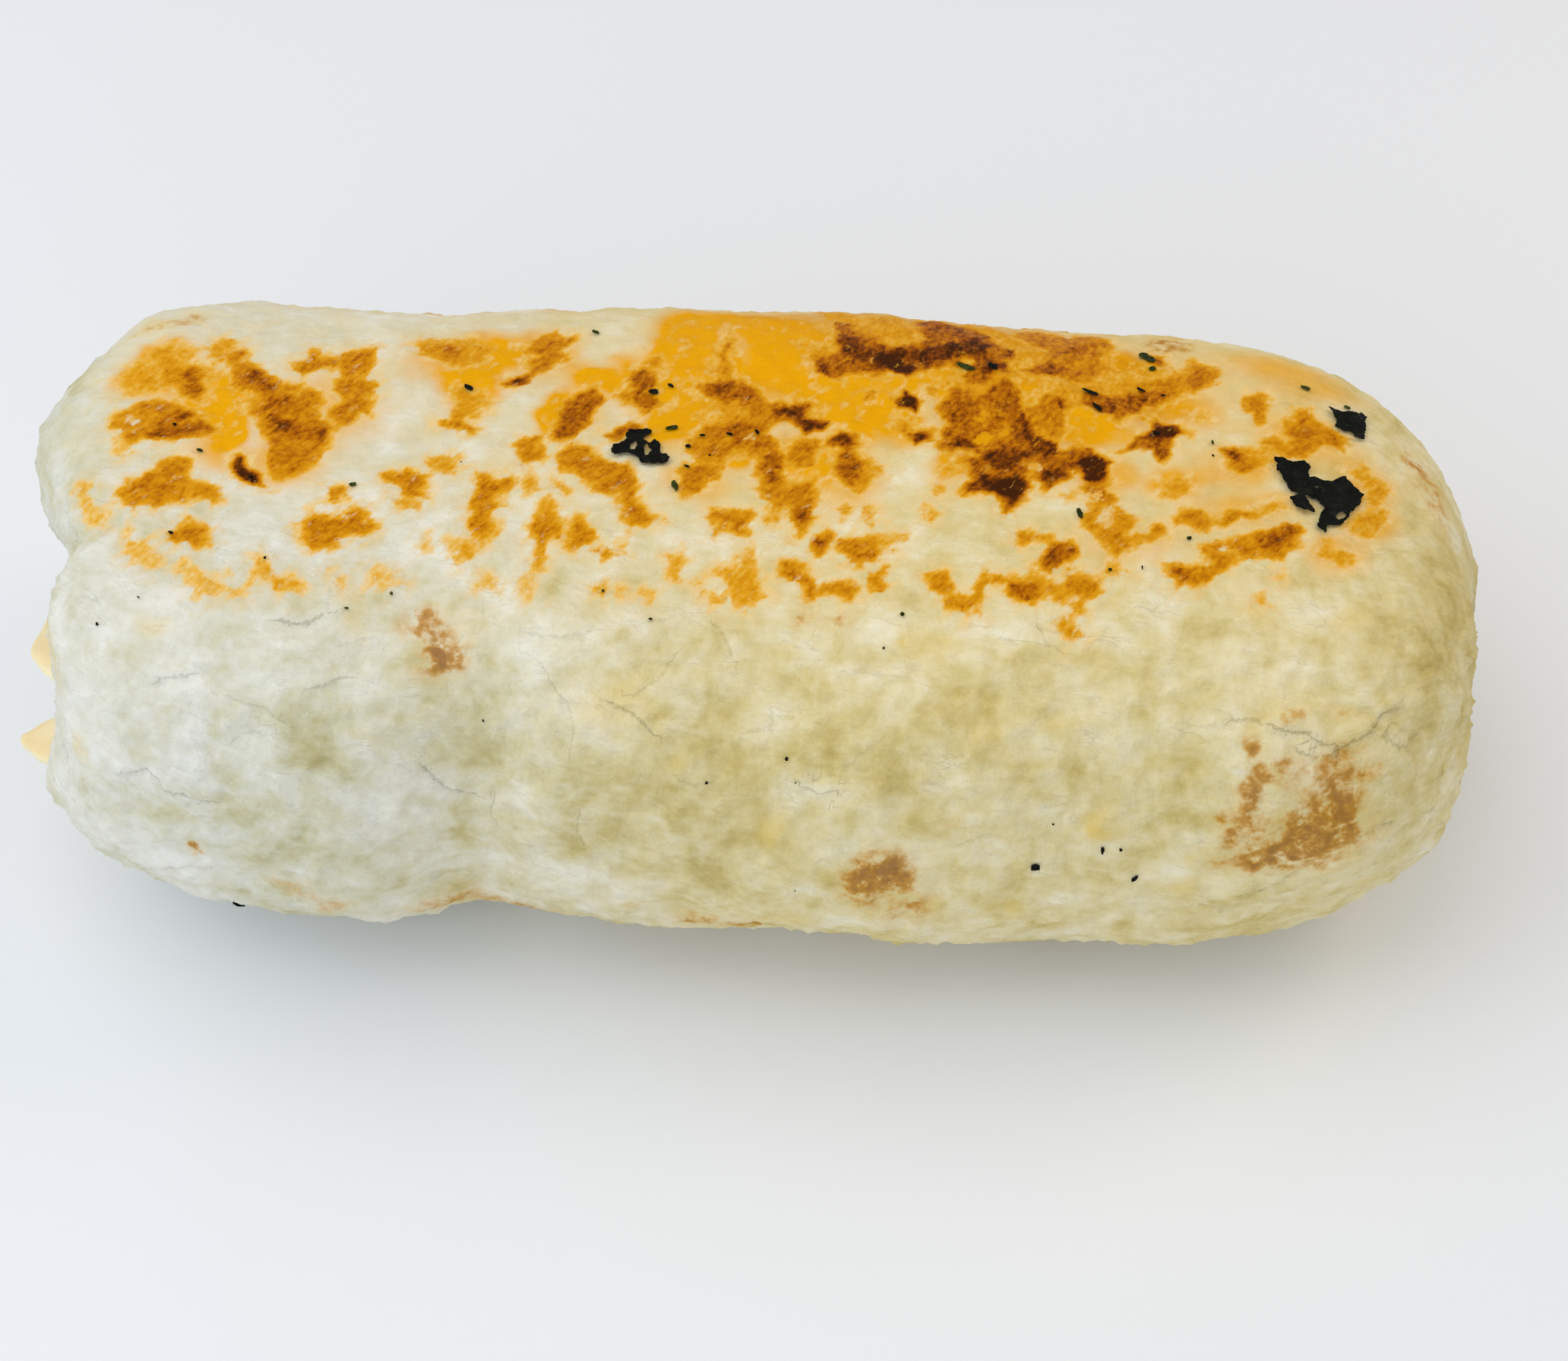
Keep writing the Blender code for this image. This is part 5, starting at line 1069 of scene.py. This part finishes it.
# a torn flake laid on the skin: the cells of a fine grid that fall inside its outline, their outer
# corners drawn in to the outline, lifted off the skin, crumpled by noise, and given a thickness
def flakeSheet(inside, low, high, lift, crumple, tear, seed):
    u = np.arange(low[0], high[0] + leafStep, leafStep)
    v = np.arange(low[1], high[1] + leafStep, leafStep)
    u, v = np.meshgrid(u, v, indexing="ij")

    def torn(u, v):
        here = np.stack([u, v, np.full(u.shape, seed * 7.3)], -1)
        return inside(u, v) + tear * (softNoise(here, 1.3, seed) + 0.5 * softNoise(here, 0.5, seed + 1))

    f = torn(u, v)
    cells = (f[:-1, :-1] + f[1:, :-1] + f[1:, 1:] + f[:-1, 1:]) / 4 > 0
    small = 0.02
    for _ in range(2):
        f = torn(u, v)
        du, dv = (torn(u + small, v) - f) / small, (torn(u, v + small) - f) / small
        pull = np.where(f < 0.02, np.clip(f - 0.02, -leafStep * 0.7, 0) / np.maximum(du ** 2 + dv ** 2, 0.25), 0)
        u, v = u - pull * du, v - pull * dv
    along, degrees = u, v / roll["girthPerDegree"]
    base = burritoSurface(along, np.radians(degrees))
    normal = gridNormals(base)
    here = np.stack([u, v, np.full(u.shape, seed * 3.1)], -1)
    rumple = softNoise(here, 2.2, seed + 2) + 0.5 * softNoise(here, 0.9, seed + 3)
    curl = np.clip(0.5 - f, 0, 0.5) * 0.5
    ground = skinRelief(base, along, degrees, skinFields(base, along, degrees))
    height = ground + lift + crumple * rumple + curl
    top = base + normal * height[..., None]
    return top, normal, cells


# a closed solid from the kept cells of a grid: the sheet, the same sheet lower down, and a wall between
def closeSheet(top, normal, cells, thick):
    rows, columns = top.shape[:2]
    number = np.arange(rows * columns).reshape(rows, columns)
    i, j = np.nonzero(cells)
    quads = np.stack([number[i, j], number[i + 1, j], number[i + 1, j + 1], number[i, j + 1]], -1)
    sides = np.concatenate([quads[:, [a, (a + 1) % 4]] for a in range(4)])
    key = np.sort(sides, 1) @ (1, rows * columns)
    _, first, count = np.unique(key, return_index=True, return_counts=True)
    rim = sides[first[count == 1]]
    under = rows * columns
    walls = np.stack([rim[:, 1], rim[:, 0], rim[:, 0] + under, rim[:, 1] + under], -1)
    faces = np.concatenate([quads, quads[:, ::-1] + under, walls])
    points = np.concatenate([top.reshape(-1, 3), (top - normal * thick).reshape(-1, 3)])
    used, faces = np.unique(faces, return_inverse=True)
    return points[used], faces.reshape(-1, 4)


def makeLeaf(name, shape, finish, seed):
    corners = np.array([c for outline in [shape["outline"], *shape["extra"]] for c in outline])
    corners = corners * (1, roll["girthPerDegree"])

    def inside(u, v):
        depth = insideOutline(u, v, shape["outline"])
        for outline in shape["extra"]:
            depth = np.maximum(depth, insideOutline(u, v, outline))
        for hole in shape["holes"]:
            depth = np.minimum(depth, -insideOval(u, v / roll["girthPerDegree"], hole)[0])
        return depth

    sheet = flakeSheet(inside, corners.min(0) - 0.8, corners.max(0) + 0.8, shape["lift"], shape["crumple"], 0.30, seed)
    points, faces = closeSheet(*sheet, leafThick)
    piece = addMesh(name.replace("leaf", "charred"), points + shift, faces.tolist(), finish)
    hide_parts(name)
    return piece


# ---- flecks too small to be parts: (along, degrees, length, width in mm, lean in degrees)
flecks = {
    "flecks_charred": [
        (-40.7, 114.3, 1.6, 0.9, 20), (-17.6, 113.6, 1.5, 1.1, 0), (-15.3, 115, 1.2, 0.5, 40), (-12.2, 99.2, 0.9, 0.6, 0),
        (-13.9, 96, 0.8, 0.6, 30), (-8.8, 100, 0.9, 0.5, 0), (-13.9, 89.2, 1.1, 0.4, 30), (-11.3, 92.5, 0.7, 0.4, 0),
        (-5.5, 101, 0.9, 0.5, 60), (-40.6, 88.3, 0.7, 0.4, 0), (-16.8, 47.3, 0.5, 0.4, 0), (29.4, 3.5, 1.3, 1.0, 0),
        (41.5, 0.3, 1.2, 0.7, -40), (31.1, 12.6, 0.8, 0.5, 0), (37.2, 6.9, 0.6, 0.5, 80), (39.4, 7.2, 0.4, 0.3, 0),
        (10.2, 43, 0.5, 0.3, 0), (-0.4, 24, 0.5, 0.4, 0), (0.8, 20.2, 0.5, 0.3, 0), (-9.6, 19.3, 0.5, 0.4, 0),
        (-9.2, 35, 0.4, 0.3, 30), (-77, 46.3, 0.6, 0.3, 20), (-81.5, 39.6, 0.5, 0.3, 80), (-74.4, 62.5, 1.0, 0.6, 0),
        (-62.1, 58.3, 0.8, 0.4, -30), (-76.6, 95.8, 0.8, 0.5, 0), (37.4, 117.2, 2.2, 0.8, 35), (37.0, 112, 1.9, 0.9, 70),
        (44.2, 119, 1.2, 0.6, 50), (42.6, 104, 1.4, 0.5, 45), (39.6, 62, 0.6, 0.3, 80), (-36.2, 26.8, 0.5, 0.3, 40),
        (48.6, 96.3, 0.7, 0.4, 30), (-65.4, 81.8, 0.8, 0.5, -35), (-69.0, -22.6, 2.2, 1.0, 0),
        (46.2, 117, 0.8, 0.5, 0), (26.8, 124.6, 1.6, 1.0, 30), (1.0, -1.9, 0.5, 0.4, 0),
    ],
    "flecks_herb": [
        (-15.8, 101.7, 1.8, 1.3, 0), (-15.1, 82, 0.9, 2.7, -10), (-16.5, 90.7, 0.9, 0.9, 0), (-53, 81, 1.0, 0.7, 0),
        (-72.9, 88, 1.2, 0.7, 20), (-24, 134, 1.4, 0.6, 30), (23.4, 124.3, 2.7, 1.2, 35), (32.4, 76.3, 0.8, 2.1, -15),
        (48, 131, 1.6, 2.2, -20), (47.6, 127.2, 0.9, 1.2, 20), (62.7, 123, 1.0, 1.4, -20), (66.6, 118.7, 0.9, 0.7, 0),
        (45, 70.3, 0.8, 0.6, 0), (49.0, 101, 0.5, 0.9, 0), (36, 61.6, 0.6, 0.5, 0), (-22.5, 53.3, 0.5, 0.4, 0),
        (-52, 48, 0.8, 0.5, 0), (-47, 51.4, 0.5, 0.4, 0), (12.2, 49.6, 0.6, 0.5, 0),
    ],
}


# small torn flakes on the skin, joined into one piece
def makeFlecks(name, places, finish, seed):
    allPoints, allFaces, count = [], [], 0
    for number, (along, degrees, length, width, lean) in enumerate(places):
        oval = (along, degrees, length * 0.85, width * 0.85 / roll["girthPerDegree"], lean)
        middle = np.array([along, degrees * roll["girthPerDegree"]])
        reach = max(length, width) / 2 + 0.45
        sheet = flakeSheet(lambda u, v: insideOval(u, v / roll["girthPerDegree"], oval)[0],
                           middle - reach, middle + reach, 0.14, 0.08, 0.12, seed + 5 * number)
        if not sheet[2].any():
            continue
        points, faces = closeSheet(*sheet, 0.14)
        allPoints.append(points)
        allFaces += (faces + count).tolist()
        count += len(points)
    piece = addMesh(name, np.concatenate(allPoints) + shift, allFaces, finish)
    return piece


shift = frameShift()
print("frame: tortilla moved by", shift.round(3), "mm to meet it")
makeTortilla(tortillaMaterial(tortillaLook))
print("tortilla: skin, browning and folds")
cheeseFinish = cheeseMaterial(cheeseLook)
for name, size in cheese["corners"].items():
    makeCheese(name, size, cheeseFinish)
print("cheese: two corners")
charred, wilted = leafMaterial("coriander leaf, charred", leafLook), leafMaterial("herb flecks, wilted", herbLook)
for seed, (name, shape) in enumerate(leaves.items()):
    makeLeaf(name, shape, charred, 100 + 10 * seed)
makeFlecks("flecks_charred", flecks["flecks_charred"], charred, 300)
makeFlecks("flecks_herb", flecks["flecks_herb"], wilted, 700)
print("leaves: three charred leaves and the flecks")

# ---- floor, light and camera
studio = {
    "floor": "#F3F5F8", "sky": "#E8EEF6", "skyStrength": 0.60,
    # name, place, what it points at, width, power in watts, colour
    "lamps": [("key", (-0.30, 0.04, 0.78), (0, 0, 0.02), 0.90, 2.2, "#FFF8EC"),
              ("left", (-0.62, -0.20, 0.38), (0, 0, 0.02), 0.45, 0.8, "#DCE9FF"),
              ("front", (-0.15, -0.70, 0.40), (0, 0, 0.02), 0.70, 1.25, "#EAF1FF"),
              ("right", (0.55, 0.25, 0.50), (0, 0, 0.02), 0.40, 0.9, "#FFE2B0")],
    "azimuth": 2.0, "elevation": 48.0, "distance": 0.42, "lens": 74.3, "aim": (0.00393, -0.00069, 0.0170),
}


def makeStudio():
    scene = bpy.context.scene
    floorMaterial, node = newMaterial("matt painted board")
    cloud = node("TexNoise", node("TexCoord", out="Object"), named={"Scale": 6.0, "Detail": 2.0})
    node("OutputMaterial", node("BsdfPrincipled", named={
        "Base Color": studio["floor"], "Roughness": node("MapRange", cloud, 0.0, 1.0, 0.55, 0.62)}))
    mesh = bpy.data.meshes.new("floor")
    mesh.from_pydata([(-3, -3, 0), (3, -3, 0), (3, 3, 0), (-3, 3, 0)], [], [(0, 1, 2, 3)])
    mesh.materials.append(floorMaterial)
    floor = bpy.data.objects.new("floor", mesh)
    scene.collection.objects.link(floor)
    world = bpy.data.worlds.new("studio")
    world.use_nodes = True
    world.node_tree.nodes["Background"].inputs["Color"].default_value = colour(studio["sky"])
    world.node_tree.nodes["Background"].inputs["Strength"].default_value = studio["skyStrength"]
    scene.world = world
    for name, place, aim, width, power, tint in studio["lamps"]:
        lamp = bpy.data.lights.new(name, "AREA")
        lamp.shape, lamp.size, lamp.energy, lamp.color = "DISK", width, power, colour(tint)[:3]
        made = bpy.data.objects.new(name, lamp)
        made.location = place
        made.rotation_euler = (Vector(aim) - Vector(place)).to_track_quat("-Z", "Y").to_euler()
        scene.collection.objects.link(made)
    camera = bpy.data.cameras.new("camera")
    camera.lens, camera.clip_start, camera.clip_end = studio["lens"], 0.01, 20
    made = bpy.data.objects.new("camera", camera)
    a, e = math.radians(studio["azimuth"]), math.radians(studio["elevation"])
    back = Vector((math.sin(a) * math.cos(e), -math.cos(a) * math.cos(e), math.sin(e)))
    made.location = Vector(studio["aim"]) + back * studio["distance"]
    made.rotation_euler = (-back).to_track_quat("-Z", "Y").to_euler()
    scene.collection.objects.link(made)
    scene.camera = made
    scene.view_settings.view_transform = "Standard"


makeStudio()
print("studio: floor, lamps and camera")
